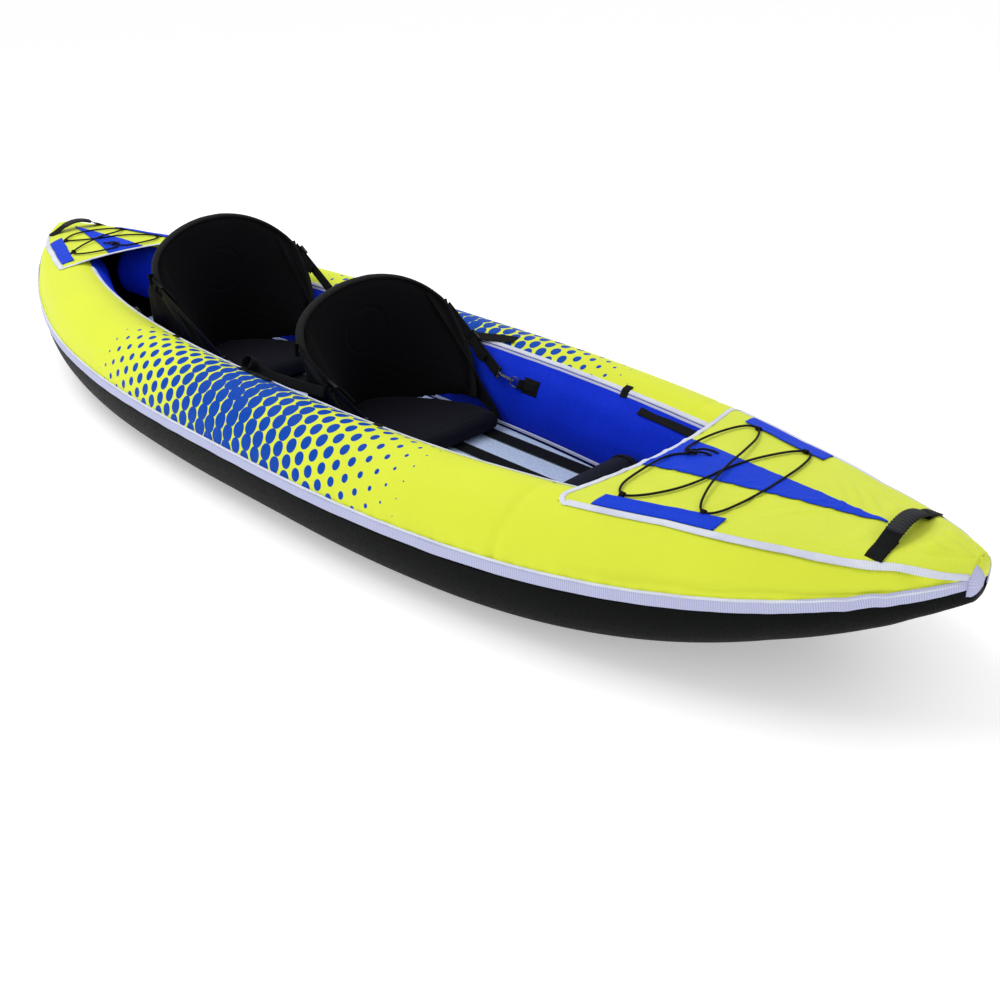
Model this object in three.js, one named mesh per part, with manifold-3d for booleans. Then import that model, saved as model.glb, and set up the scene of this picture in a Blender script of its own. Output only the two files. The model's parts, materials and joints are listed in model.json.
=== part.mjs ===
// Two-seat inflatable kayak: fabric hull with three air chambers, fabric decks with bungee cord,
// two bucket seats held by straps, carry handles, a sliding footrest and screw-capped valves.
// Millimetres. +X is the bow, +Y is port, +Z is up; the origin is under the middle of the boat,
// on the surface that it stands on.
import * as THREE from "three";
import { mergeVertices } from "three/addons/utils/BufferGeometryUtils.js";
import Module from "manifold-3d";

const wasm = await Module();
wasm.setup();

// ---- driving dimensions ----
const HALF_LENGTH = 1650;
const TIP_X = 1640; // where the sewn panels end and the stem tape takes over
const HALF_BEAM = 467;
const TUBE_HALF_WIDTH = 120;
const TUBE_TOP = 296; // height of the side tubes amidships
const TOP_RISE = 36; // sheer: how much higher the tubes stand at the tips
const FLAT_KEEL = 400; // the underside is flat this far each way from amidships
const BOTTOM_RISE = 259; // rocker: how high the underside stands at the tips

const SKIN = 2.5; // sewn fabric panels
const GAP = 0.4; // between pieces that touch
const SEAM_ANGLE = 0; // seam of side cover and bilge panel: the widest line of the tube
const SEAM_TAPE_ANGLE = 11; // width of the tape along that seam, above it
const RIM_ANGLE = 120; // seam of side cover and inner wall
const LINER_FOOT_ANGLE = 210; // lower edge of the inner wall, behind the floor
const DECK_EDGE_ANGLE = 75; // where the decks are sewn to the tubes
// Towards the tips the decks' edges run down: slowly over one stretch, then fast to the seam tape.
const EDGE_SLOW_DROP = { angle: 20, from: 1150, length: 350 };
const EDGE_FAST_DROP = { angle: 34, from: 1530, length: 110 };
const SHOULDER_SPANS = 4; // strips of the deck between a tube's crest and the deck's edge
const EDGE_DIP = 31; // how far the cockpit end of a deck curves in at the centreline
const SEAM_SLIT = 0.15; // half the angle left open at a seam
const ANGLE_STEP = 15;

const BOW_DECK_X = 940; // aft edge of the bow deck
const STERN_DECK_X = -1180; // fore edge of the stern deck
const LINER_END_X = 1330;
const DECK_LIFT = 0.6;
const DECK_TOP_LIFT = 2.2;
const PIPING_END_X = 1626;
const DECK_CROWN = 8;
const DECK_CROWN_BEAM = 389; // hull half-breadth at which the full crown is reached

const FLOOR_TOP = 85;
const FLOOR_END_X = 1200;
const FLOOR_WALL = 3;
const FLOOR_SIDE_GAP = 231; // from the tube's widest line in to the floor's edge
const STRIP_INNER_Y = 146;
const STRIP_OUTER_Y = 190;

const CHAMBER_END_X = 1540;
const CHAMBER_LIFT = -6.5;
const CHAMBER_WALL = 1.5;

const SIDES = { starboard: -1, port: 1 };

// ---- small geometry helpers ----
const v = (x, y, z) => new THREE.Vector3(x, y, z);
const rad = (degrees) => (degrees * Math.PI) / 180;
const mix = (a, b, t) => a + (b - a) * t;
const range = (count) => Array.from({ length: count }, (_, i) => i);

function signedVolume(points, faces) {
  let total = 0;
  for (let i = 0; i < faces.length; i += 3) {
    const [a, b, c] = [points[faces[i]], points[faces[i + 1]], points[faces[i + 2]]];
    total += a.dot(b.clone().cross(c)) / 6;
  }
  return total;
}

// Points and triangles as a closed geometry whose faces point out.
function closedBody(points, faces) {
  if (signedVolume(points, faces) < 0) {
    faces = faces.slice().reverse();
  }
  const geometry = new THREE.BufferGeometry();
  geometry.setAttribute("position", new THREE.Float32BufferAttribute(points.flatMap((p) => p.toArray()), 3));
  geometry.setIndex(faces);
  return geometry;
}

// The triangles that fill a flat outline, wound the way the outline runs.
function fill(outline) {
  const normal = v(0, 0, 0);
  outline.forEach((p, i) => {
    const q = outline[(i + 1) % outline.length];
    normal.add(v((p.y - q.y) * (p.z + q.z), (p.z - q.z) * (p.x + q.x), (p.x - q.x) * (p.y + q.y)));
  });
  normal.normalize();
  const across = Math.abs(normal.z) < 0.9 ? v(0, 0, 1).cross(normal) : v(1, 0, 0).cross(normal);
  across.normalize();
  const up = normal.clone().cross(across);
  const flat = outline.map((p) => new THREE.Vector2(p.dot(across), p.dot(up)));
  return THREE.ShapeUtils.triangulateShape(flat, []).flatMap(([a, b, c]) => {
    const ab = flat[b].clone().sub(flat[a]);
    const ac = flat[c].clone().sub(flat[a]);
    return ab.cross(ac) < 0 ? [a, c, b] : [a, b, c];
  });
}

// A closed body through a row of rings with the same number of points each.
function loft(rings) {
  const n = rings[0].length;
  const faces = [];
  for (let i = 0; i + 1 < rings.length; i++) {
    for (let j = 0; j < n; j++) {
      const a = i * n + j;
      const b = i * n + ((j + 1) % n);
      faces.push(a, b, b + n, a, b + n, a + n);
    }
  }
  const last = (rings.length - 1) * n;
  fill(rings[0]).forEach((_, i, all) => faces.push(all[all.length - 1 - i]));
  fill(rings[rings.length - 1]).forEach((i) => faces.push(last + i));
  return closedBody(rings.flat(), faces);
}

function toSolid(geometry) {
  const bare = geometry.clone();
  bare.deleteAttribute("normal");
  bare.deleteAttribute("uv");
  const merged = mergeVertices(bare);
  return new wasm.Manifold(
    new wasm.Mesh({
      numProp: 3,
      vertProperties: new Float32Array(merged.attributes.position.array),
      triVerts: new Uint32Array(merged.index.array),
    }),
  );
}

function toGeometry(solid) {
  const mesh = solid.getMesh();
  const geometry = new THREE.BufferGeometry();
  geometry.setAttribute("position", new THREE.BufferAttribute(new Float32Array(mesh.vertProperties), 3));
  geometry.setIndex(Array.from(mesh.triVerts));
  return geometry;
}

const cut = (geometry, ...tools) =>
  toGeometry(tools.reduce((left, tool) => left.subtract(toSolid(tool)), toSolid(geometry)));
const join = (geometry, ...others) =>
  toGeometry(others.reduce((left, other) => left.add(toSolid(other)), toSolid(geometry)));

// A turned piece: profile points are [radius, height], its axis runs from base along axis.
function turned(profile, base, axis, segments = 20) {
  const points = profile.map(([r, h]) => new THREE.Vector2(r, h));
  const geometry = new THREE.LatheGeometry(points, segments);
  const turn = new THREE.Quaternion().setFromUnitVectors(v(0, 1, 0), axis.clone().normalize());
  geometry.applyQuaternion(turn);
  geometry.translate(base.x, base.y, base.z);
  return geometry;
}

// A flat band through points; faceUp[i] is the way its face looks at each point.
function band(points, faceUp, width, thickness) {
  const rings = points.map((p, i) => {
    const before = points[Math.max(i - 1, 0)];
    const after = points[Math.min(i + 1, points.length - 1)];
    const into = p.clone().sub(before).normalize();
    const out = after.clone().sub(p).normalize();
    const along = into.add(out).normalize();
    const side = faceUp[i].clone().cross(along).normalize();
    const up = along.clone().cross(side).normalize();
    const turning = out.lengthSq() > 0 ? Math.max(along.dot(out), 0.6) : 1;
    const w = width / 2 / (i > 0 && i + 1 < points.length ? turning : 1);
    const h = thickness / 2;
    return [
      p.clone().addScaledVector(side, -w).addScaledVector(up, -h),
      p.clone().addScaledVector(side, w).addScaledVector(up, -h),
      p.clone().addScaledVector(side, w).addScaledVector(up, h),
      p.clone().addScaledVector(side, -w).addScaledVector(up, h),
    ];
  });
  return loft(rings);
}

// A round cord or wire along a smooth open curve.
function cord(points, radius, steps, sides = 8) {
  const curve = new THREE.CatmullRomCurve3(points, false, "centripetal");
  const section = new THREE.Shape(
    range(sides).map((i) => {
      const a = rad((360 * i) / sides);
      return new THREE.Vector2(radius * Math.cos(a), radius * Math.sin(a));
    }),
  );
  return new THREE.ExtrudeGeometry(section, { steps, extrudePath: curve, curveSegments: 1 });
}

// A closed oval link of round wire, long along "along" and flat across "face".
function link(centre, along, face, halfLength, halfWidth, wire) {
  const across = face.clone().cross(along).normalize();
  const straight = halfLength - halfWidth;
  const steps = 6;
  const rings = [];
  for (const end of [1, -1]) {
    for (let i = 0; i <= steps; i++) {
      const a = rad(-90 + (180 * i) / steps);
      const out = along.clone().multiplyScalar(end * Math.cos(a)).addScaledVector(across, end * Math.sin(a));
      const middle = centre.clone().addScaledVector(along, end * straight).addScaledVector(out, halfWidth);
      const ring = range(6).map((j) => {
        const t = rad(60 * j);
        const point = middle.clone().addScaledVector(out, wire * Math.cos(t));
        return point.addScaledVector(face, wire * Math.sin(t));
      });
      rings.push(ring);
    }
  }
  const n = 6;
  const faces = [];
  for (let i = 0; i < rings.length; i++) {
    const next = ((i + 1) % rings.length) * n;
    for (let j = 0; j < n; j++) {
      const k = (j + 1) % n;
      faces.push(i * n + j, i * n + k, next + k, i * n + j, next + k, next + j);
    }
  }
  return closedBody(rings.flat(), faces);
}

// ---- the hull's shape ----
// The two side tubes are upright ovals whose outer sides follow the plan outline.
function hullAt(x) {
  const s = Math.abs(x) / HALF_LENGTH;
  const beam = HALF_BEAM * Math.pow(1 - Math.pow(s, 2.7), 0.736);
  const rise = Math.max(0, (Math.abs(x) - FLAT_KEEL) / (HALF_LENGTH - FLAT_KEEL));
  const bottom = BOTTOM_RISE * Math.pow(rise, 3.24);
  const top = TUBE_TOP + TOP_RISE * Math.pow(s, 2.1);
  const ry = Math.min(TUBE_HALF_WIDTH, beam / 2);
  return { beam, bottom, top, ry, rz: (top - bottom) / 2, yc: beam - ry, zc: (top + bottom) / 2 };
}

// A point on a side tube: 0 degrees is its outermost line and 90 its top.
function onTube(x, degrees, side, lift = 0) {
  const h = hullAt(x);
  const y = h.yc + (h.ry + lift) * Math.cos(rad(degrees));
  return v(x, side * y, h.zc + (h.rz + lift) * Math.sin(rad(degrees)));
}

// The outward normal of a side tube, from its slopes along and around it.
function tubeNormal(x, degrees, side) {
  const lengthwise = onTube(x + 1, degrees, side).sub(onTube(x - 1, degrees, side));
  const around = onTube(x, degrees + 1, side).sub(onTube(x, degrees - 1, side));
  return around.cross(lengthwise).multiplyScalar(side).normalize();
}

// Every panel is cut at these stations, so that panels that lie on each other stay parallel.
const STATIONS = (() => {
  const ends = [LINER_END_X, FLOOR_END_X, CHAMBER_END_X];
  const marks = [BOW_DECK_X, STERN_DECK_X, ...ends, ...ends.map((x) => -x)];
  const even = range(21).map((i) => TIP_X * Math.sin(rad(9 * (i - 10))));
  const kept = even.filter((x) => marks.every((m) => Math.abs(x - m) > 30));
  return [...kept, ...marks].sort((a, b) => a - b);
})();

const stations = (from, to) => [from, ...STATIONS.filter((x) => x > from + 1 && x < to - 1), to];

function angles(from, to) {
  const inner = range(25).map((i) => i * ANGLE_STEP - 90);
  return [from, ...inner.filter((a) => a > from + 1 && a < to - 1), to];
}

// A panel that follows a tube between two angles.
function tubePanel(side, from, to, low, high, x0, x1) {
  return loft(
    stations(x0, x1).map((x) => [
      ...angles(from, to).map((a) => onTube(x, a, side, high)),
      ...angles(from, to).reverse().map((a) => onTube(x, a, side, low)),
    ]),
  );
}

// ---- hull panels ----
function bottomPanel() {
  return loft(
    stations(-TIP_X, TIP_X).map((x) => {
      const h = hullAt(x);
      const y = h.yc - GAP / 2;
      return [v(x, -y, h.bottom), v(x, y, h.bottom), v(x, y, h.bottom + SKIN), v(x, -y, h.bottom + SKIN)];
    }),
  );
}

const bilgePanel = (side) =>
  tubePanel(side, -90 + SEAM_SLIT, SEAM_ANGLE - SEAM_SLIT, -SKIN, 0, -TIP_X, TIP_X);
const sideCover = (side) =>
  tubePanel(side, SEAM_ANGLE + SEAM_SLIT, RIM_ANGLE - SEAM_SLIT, -SKIN, 0, -TIP_X, TIP_X);
const innerWall = (side) =>
  tubePanel(side, RIM_ANGLE + SEAM_SLIT, LINER_FOOT_ANGLE, -SKIN, 0, -LINER_END_X, LINER_END_X);
const seamTape = (side) =>
  tubePanel(side, SEAM_ANGLE + 1, SEAM_ANGLE + 1 + SEAM_TAPE_ANGLE, 0.8, 3.3, -TIP_X, TIP_X);
const rimPiping = (side) =>
  tubePanel(side, RIM_ANGLE - 2.5, RIM_ANGLE + 2.5, 0.8, 4, STERN_DECK_X + 12, BOW_DECK_X - 12);

// ---- air chambers ----
function tubeSolid(side, lift, endX) {
  const xs = STATIONS.filter((x) => Math.abs(x) < endX - 20);
  return loft([-endX, ...xs, endX].map((x) => range(12).map((i) => onTube(x, i * 30, side, lift))));
}

function sideChamber(side, valveHole) {
  const inside = tubeSolid(side, CHAMBER_LIFT - CHAMBER_WALL, CHAMBER_END_X - CHAMBER_WALL);
  return cut(tubeSolid(side, CHAMBER_LIFT, CHAMBER_END_X), inside, valveHole);
}

// The floor is nearly flat on top and gets thinner towards its ends, where the bottom rises.
const floorTop = (x) => FLOOR_TOP + hullAt(x).bottom / 12;

function floorSolid(inset, endX) {
  const middle = STATIONS.filter((x) => Math.abs(x) < endX - 20);
  return loft(
    [-endX, ...middle, endX].map((x) => {
      const h = hullAt(x);
      const w = h.beam - FLOOR_SIDE_GAP - inset;
      const low = h.bottom + SKIN + 1 + inset;
      const high = floorTop(x) - inset;
      const bevel = 5;
      return [
        v(x, -w, low), v(x, w, low), v(x, w, high - bevel), v(x, w - bevel, high),
        v(x, bevel - w, high), v(x, -w, high - bevel),
      ];
    }),
  );
}

const floorChamber = (valveHole) =>
  cut(floorSolid(0, FLOOR_END_X), floorSolid(FLOOR_WALL, FLOOR_END_X - FLOOR_WALL), valveHole);

// Hook-and-loop strips that the seats and the footrest hold on to.
function floorStrip(side) {
  return loft(
    stations(-700, 720).map((x) => {
      const z = floorTop(x) + 1;
      const [a, b] = [side * STRIP_INNER_Y, side * STRIP_OUTER_Y];
      return [v(x, a, z), v(x, b, z), v(x, b, z + 1.5), v(x, a, z + 1.5)];
    }),
  );
}

// ---- decks ----
// The deck lies on the tubes' outer shoulders and spans between their crests with a slight crown.
function deckHeight(x, y, lift) {
  const h = hullAt(x);
  const past = Math.abs(y) - h.yc;
  lift += tipLift(x);
  if (past > 0) {
    return h.zc + (h.rz + lift) * Math.sqrt(Math.max(0, 1 - (past / (h.ry + lift)) ** 2));
  }
  const crown = DECK_CROWN * Math.min(1, h.beam / DECK_CROWN_BEAM);
  return h.top + lift + crown * (1 - (y / h.yc) ** 2);
}

function edgeDrop(x, { angle, from, length }, power) {
  return angle * Math.min(1, Math.max(0, (Math.abs(x) - from) / length)) ** power;
}

const deckEdgeAngle = (x) =>
  DECK_EDGE_ANGLE - edgeDrop(x, EDGE_SLOW_DROP, 1) - edgeDrop(x, EDGE_FAST_DROP, 1.5);
const tipLift = (x) => 2.5 * Math.min(1, (DECK_EDGE_ANGLE - deckEdgeAngle(x)) / 8);

const deckEdge = (x) => hullAt(x).yc + hullAt(x).ry * Math.cos(rad(deckEdgeAngle(x)));

// How far a point of the deck is drawn towards the tip, so that the deck's cockpit end is hollow.
function edgeDip(x, y) {
  const edge = x > 0 ? BOW_DECK_X : STERN_DECK_X;
  const next = x > 0 ? 1160 : -1330;
  const fade = Math.max(0, Math.min(1, (next - x) / (next - edge)));
  return Math.sign(x) * EDGE_DIP * fade * Math.max(0, 1 - (y / hullAt(x).yc) ** 2);
}

function deckSheet(x0, x1, columnsAt, low, high) {
  return loft(
    stations(x0, x1).map((x) => {
      const ys = columnsAt(x);
      const over = ys.map((y) => v(x + edgeDip(x, y), y, deckHeight(x, y, high)));
      const under = ys.map((y) => v(x + edgeDip(x, y), y, deckHeight(x, y, low))).reverse();
      return [...over, ...under];
    }),
  );
}

function deckColumns(x) {
  const crest = hullAt(x).yc;
  const step = (90 - deckEdgeAngle(x)) / SHOULDER_SPANS;
  const shoulder = range(SHOULDER_SPANS).map((i) => crest + hullAt(x).ry * Math.sin(rad(step * (i + 1))));
  const half = [0.33 * crest, 0.66 * crest, crest, ...shoulder];
  return [...half.map((y) => -y).reverse(), 0, ...half];
}

const deck = (x0, x1) => deckSheet(x0, x1, deckColumns, DECK_LIFT, DECK_TOP_LIFT);

// The coloured centre panel: a long wedge that narrows towards the tip.
function centrePanel(baseX, apexX, halfBase) {
  const columns = (x) => {
    const w = mix(halfBase, 3, (x - baseX) / (apexX - baseX));
    return [-w, 0, w];
  };
  const low = DECK_TOP_LIFT + 1;
  return deckSheet(Math.min(baseX, apexX), Math.max(baseX, apexX), columns, low, low + 1.2);
}

// A flap sewn along the deck's edge; the bungee cord's loops come out from under it.
function deckFlap(side, x0, x1) {
  const columns = (x) => [deckEdge(x) - 9, deckEdge(x) - 29, deckEdge(x) - 48].map((y) => side * y);
  return deckSheet(x0, x1, columns, DECK_TOP_LIFT + 1, DECK_TOP_LIFT + 2.6);
}

// Tape along the deck's three sewn edges: up one side, across the cockpit end and down the other.
function deckPiping(edgeX, tipX) {
  const lift = DECK_TOP_LIFT + 3.6;
  const xs = stations(Math.min(edgeX, tipX), Math.max(edgeX, tipX));
  const fromTip = edgeX < tipX ? xs.reverse() : xs;
  const edge = (side, list) => list.map((x) => onTube(x, deckEdgeAngle(x), side, lift + tipLift(x)));
  const cross = deckColumns(edgeX).slice(SHOULDER_SPANS, -SHOULDER_SPANS);
  const across = cross.map((y) => v(edgeX + edgeDip(edgeX, y), y, deckHeight(edgeX, y, lift)));
  const points = [...edge(-1, fromTip), ...across, ...edge(1, fromTip.slice().reverse())];
  const normals = points.map((p) => {
    const h = hullAt(p.x);
    const past = Math.max(0, Math.abs(p.y) - h.yc);
    return v(0, (Math.sign(p.y) * past) / h.ry ** 2, Math.abs(p.z - h.zc) / h.rz ** 2).normalize();
  });
  return band(points, normals, 11, 2.6);
}

// The tape-bound stem that closes a tip.
function stemTape(sign) {
  const h = hullAt(TIP_X);
  const ring = (x, w, inset) => {
    const low = h.bottom - 7 + inset;
    const high = h.top + 8 - inset;
    return range(16).map((i) => {
      const a = rad(22.5 * i);
      const square = (t) => Math.sign(t) * Math.pow(Math.abs(t), 0.6);
      return v(sign * x, w * square(Math.cos(a)), mix(low, high, (square(Math.sin(a)) + 1) / 2));
    });
  };
  return loft([ring(TIP_X + GAP, 28, 0), ring(TIP_X + 6, 24, 3), ring(HALF_LENGTH, 14, 9)]);
}

// ---- bungee cords ----
// Route points: distance along the deck, place across as a share of the crest's distance from the
// centreline, and height over the deck. The cord starts and ends at the knot on the cockpit side.
const CORD_RADIUS = 2.5;
const CORD_LIFT = 10.5;
const CROSSING_LIFT = 17;
const BUNGEE_ROUTE = [
  [99, -0.07, CORD_LIFT], [62, -0.03, CORD_LIFT], [55, -0.2, CORD_LIFT], [56, -0.47, CORD_LIFT],
  [66, -0.74, CORD_LIFT], [92, -0.89, CORD_LIFT], [124, -0.83, CORD_LIFT], [156, -0.62, CORD_LIFT],
  [172, -0.36, CORD_LIFT], [181, 0, CORD_LIFT], [198, 0.36, CORD_LIFT], [226, 0.74, CORD_LIFT],
  [250, 0.95, CORD_LIFT], [270, 0.86, CORD_LIFT], [283, 0.6, CORD_LIFT], [289, 0.25, CORD_LIFT],
  [290, -0.2, CORD_LIFT], [284, -0.58, CORD_LIFT], [271, -0.86, CORD_LIFT], [250, -0.95, CORD_LIFT],
  [228, -0.76, 12], [201, -0.4, 15], [181, 0, CROSSING_LIFT], [162, 0.4, 15], [140, 0.72, 12],
  [112, 0.9, CORD_LIFT], [84, 0.86, CORD_LIFT], [66, 0.66, CORD_LIFT], [58, 0.36, CORD_LIFT],
  [62, 0.05, CORD_LIFT], [98, 0.06, CORD_LIFT],
];

function bungee(edgeX, sign, stretch) {
  const points = BUNGEE_ROUTE.map(([along, across, lift]) => {
    const x = edgeX + sign * along * stretch;
    const y = sign * across * hullAt(x).yc;
    return v(x, y, deckHeight(x, y, lift));
  });
  return cord(points, CORD_RADIUS, 62);
}

// ---- carry handles ----
// A webbing strap sewn down at both ends, with a rubber sleeve around its middle.
const HANDLES = { bow: { x: 1497, footY: 84 }, stern: { x: -1530, footY: 80 } };
const HANDLE_FOOT_LIFT = 7.5;
const HANDLE_RISE = 26;
const GRIP_SHARE = 0.58; // how much of the strap's span the sleeve covers

// The strap's centre: an arch over the deck between the two feet.
function handlePoint({ x, footY }, y) {
  const arch = Math.pow(1 - Math.min(1, (y / footY) ** 2), 1.2);
  return v(x, y, hullAt(x).top + HANDLE_FOOT_LIFT + HANDLE_RISE * arch);
}

function handleStrap(handle) {
  const points = range(13).map((i) => handlePoint(handle, mix(-handle.footY, handle.footY, i / 12)));
  return band(points, points.map(() => v(0, 0, 1)), 38, 2.2);
}

function handleGrip(handle) {
  const half = handle.footY * GRIP_SHARE;
  const ys = range(7).map((i) => mix(-half, half, i / 6));
  const sleeve = ys.map((y) => {
    const p = handlePoint(handle, y);
    return range(12).map((i) => v(p.x + 22.5 * Math.cos(rad(30 * i)), y, p.z + 6.5 * Math.sin(rad(30 * i))));
  });
  const slot = [-1.15, ...range(5).map((i) => (i - 2) / 3), 1.15].map((t) => {
    const p = handlePoint(handle, t * half);
    const [w, h] = [19.6, 2.1];
    return [[-w, -h], [w, -h], [w, h], [-w, h]].map(([dx, dz]) => v(p.x + dx, p.y, p.z + dz));
  });
  return cut(loft(sleeve), loft(slot));
}

// ---- seats ----
// Each seat: where the front face of its backrest meets the pad, its height, its widths, and the
// height at which its straps are sewn on.
const SEATS = {
  front: {
    backX: -42, topX: 2, padFront: 300, top: 477, baseHalf: 202, wideHalf: 240, wideZ: 325, strapZ: 360,
  },
  rear: {
    backX: -702, topX: -658, padFront: -392, top: 522, baseHalf: 182, wideHalf: 236, wideZ: 350, strapZ: 395,
  },
};
const SEAT_BASE_Z = 100;
const PAD_TOP = 145;
const PAD_BOTTOM = FLOOR_TOP + 4.6;
const PAD_HALF = 204;
const BACK_THICKNESS = 22;
const BUCKET_DEPTH = 0.006; // how fast the backrest's foot curves forward, per mm across squared
const BUCKET_FLAT = 0.0003; // the same at its top
const PAD_REAR_GAP = 12;

const seatShare = (seat, z) => (z - SEAT_BASE_Z) / (seat.top - SEAT_BASE_Z);

// Front face of the backrest: strongly curved at its foot, nearly flat at its top.
function backrestFace(seat, y, z) {
  const t = Math.min(1, seatShare(seat, z));
  const bend = BUCKET_FLAT + BUCKET_DEPTH * Math.pow(1 - t, 1.6);
  return mix(seat.backX, seat.topX, t) + bend * y * y;
}

function backrestHalf(seat, z) {
  if (z < seat.wideZ) {
    const t = Math.max(0, (z - SEAT_BASE_Z) / (seat.wideZ - SEAT_BASE_Z));
    return mix(seat.baseHalf, seat.wideHalf, Math.sin(rad(90 * t)));
  }
  return seat.wideHalf * Math.sqrt(Math.max(0.02, 1 - ((z - seat.wideZ) / (seat.top - seat.wideZ)) ** 2));
}

function backrest(seat) {
  const rows = 11;
  const columns = 9;
  const rings = range(rows).map((i) => {
    const t = Math.sin(rad((90 * i) / (rows - 1)));
    const level = mix(SEAT_BASE_Z, seat.top, t);
    const w = backrestHalf(seat, level);
    const place = (j) => {
      const y = mix(-w, w, j / (columns - 1));
      // the foot's outline rises towards its sides, clear of the pad and the floor
      const lift = 46 * (y / seat.baseHalf) ** 2 * (1 - t);
      return [y, level + lift];
    };
    const front = range(columns).map((j) => {
      const [y, z] = place(j);
      return v(backrestFace(seat, y, z), y, z);
    });
    const back = range(columns).map((j) => {
      const [y, z] = place(j);
      return v(backrestFace(seat, y, z) - BACK_THICKNESS, y, z);
    });
    return [...front, ...back.reverse()];
  });
  return loft(rings);
}

function seatPad(seat) {
  const count = 13;
  const half = Math.min(PAD_HALF, seat.baseHalf + 8);
  return loft(
    range(count).map((i) => {
      const y = mix(-half, half, i / (count - 1));
      const edge = Math.abs(y) > half - 20 ? 8 : 0;
      const back = backrestFace(seat, y, SEAT_BASE_Z) + PAD_REAR_GAP;
      const front = seat.padFront - edge;
      return [
        v(back, y, PAD_BOTTOM), v(front, y, PAD_BOTTOM), v(front, y, PAD_TOP - 12 - edge),
        v(front - 10, y, PAD_TOP - edge), v(back, y, PAD_TOP - edge),
      ];
    }),
  );
}

// Where each seat strap hooks on to the inner wall.
const RING_X = { front: 322, rear: -270 };
const RING_ANGLE = 153;
const RING_OFFSET = 13;

function ringFrame(seatName, side) {
  const x = RING_X[seatName];
  const normal = tubeNormal(x, RING_ANGLE, side);
  const along = v(-1, 0, 0.18).addScaledVector(normal, 0.1).normalize();
  const face = normal.clone().addScaledVector(along, -normal.dot(along)).normalize();
  return { wall: onTube(x, RING_ANGLE, side), normal, along, face };
}

// A webbing tab on the inner wall with the ring it holds.
function strapRing(seatName, side) {
  const { wall, normal, along, face } = ringFrame(seatName, side);
  const centre = wall.clone().addScaledVector(normal, RING_OFFSET);
  const ring = link(centre, along, face, 14, 12, 2);
  const x = RING_X[seatName];
  const sewn = [62, 43, 24].map((back) => onTube(x + back, RING_ANGLE, side, 4));
  const end = centre.clone().addScaledVector(along, -13);
  return join(band([...sewn, end], [normal, normal, normal, face], 26, 4), ring);
}

function snapHook(seatName, side) {
  const { wall, normal, along, face } = ringFrame(seatName, side);
  const centre = wall.clone().addScaledVector(normal, RING_OFFSET).addScaledVector(along, 27);
  const across = face.clone().cross(along).normalize();
  return link(centre, along, across, 24, 7.5, 2.2);
}

// The strap from the hook up to the side of the backrest.
function seatStrap(seatName, side) {
  const seat = SEATS[seatName];
  const { wall, normal, along, face } = ringFrame(seatName, side);
  const start = wall.clone().addScaledVector(normal, RING_OFFSET).addScaledVector(along, 56);
  const z = seat.strapZ;
  const w = backrestHalf(seat, z) + 3;
  const end = v(backrestFace(seat, w, z) - 6, side * (seat.wideHalf + 7), z);
  const points = range(6).map((i) => start.clone().lerp(end, i / 5));
  const outward = v(0.1, -side, 0.15).normalize();
  const faces = points.map((_, i) => face.clone().lerp(outward, i / 5).normalize());
  return band(points, faces, 25, 1.8);
}

// ---- fittings ----
const FOOTREST_X = 755;
const FOOTREST_RADIUS = 47;
const FOOTREST_HALF = 172;
const FOOTREST_Z = FLOOR_TOP + 5.5 + FOOTREST_RADIUS;

function footrest() {
  const r = FOOTREST_RADIUS;
  const l = FOOTREST_HALF;
  const half = [[r - 14, l], [r - 4, l - 5], [r, l - 14]];
  const other = half.map(([radius, h]) => [radius, -h]);
  const profile = [[0, -l], ...other, ...half.reverse(), [0, l]];
  return turned(profile, v(FOOTREST_X, 0, FOOTREST_Z), v(0, 1, 0));
}

// A webbing strap that lies along the tube's top to hold a paddle.
function paddleStrap(side, x0, x1, angle0, angle1) {
  const places = range(5).map((i) => [mix(x0, x1, i / 4), mix(angle0, angle1, i / 4)]);
  const points = places.map(([x, angle]) => onTube(x, angle, side, 6.5));
  const normals = places.map(([x, angle]) => tubeNormal(x, angle, side));
  return band(points, normals, 25, 2);
}

const VALVE_X = -850;
const VALVE_ANGLE = 150;
const VALVE_STEM = 14;
const FLOOR_VALVE_X = -980;

function valveHole(at, axis) {
  const r = VALVE_STEM + 0.6;
  return turned([[0, -30], [r, -30], [r, 12], [0, 12]], at, axis);
}

// Flange on the skin, and a hollow stem through the chamber's wall.
function valveBody(at, axis) {
  const r = VALVE_STEM;
  return turned(
    [[0, -9], [3, -9], [3, -20], [r, -20], [r, 0.6], [24, 0.6], [24, 2.6], [21, 3.8], [0, 3.8]],
    at,
    axis,
  );
}

function valveCap(at, axis) {
  const lobes = range(24).map((i) => {
    const a = rad(15 * i);
    const r = i % 2 ? 18 : 17;
    return new THREE.Vector2(r * Math.cos(a), r * Math.sin(a));
  });
  const knob = new THREE.ExtrudeGeometry(new THREE.Shape(lobes), { depth: 8, bevelEnabled: false });
  const turn = new THREE.Quaternion().setFromUnitVectors(v(0, 0, 1), axis);
  const base = at.clone().addScaledVector(axis, 3.8 + GAP);
  knob.applyQuaternion(turn);
  knob.translate(base.x, base.y, base.z);
  return knob;
}

// ---- assembly ----
const COLOURS = {
  cover: [0xdcec35, 0.6],
  lower: [0x141416, 0.55],
  liner: [0x1636c8, 0.65],
  tape: [0xe2e2f2, 0.7],
  bladder: [0xc9ccd2, 0.5],
  floor: [0xc4d2ea, 0.5],
  webbing: [0x17171a, 0.85],
  cordage: [0x101012, 0.8],
  rubber: [0x1b1d20, 0.7],
  seat: [0x151518, 0.9],
  plastic: [0x1a1b1d, 0.45],
  metal: [0x8a8d92, 0.3],
};

const kayak = new THREE.Group();

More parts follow.
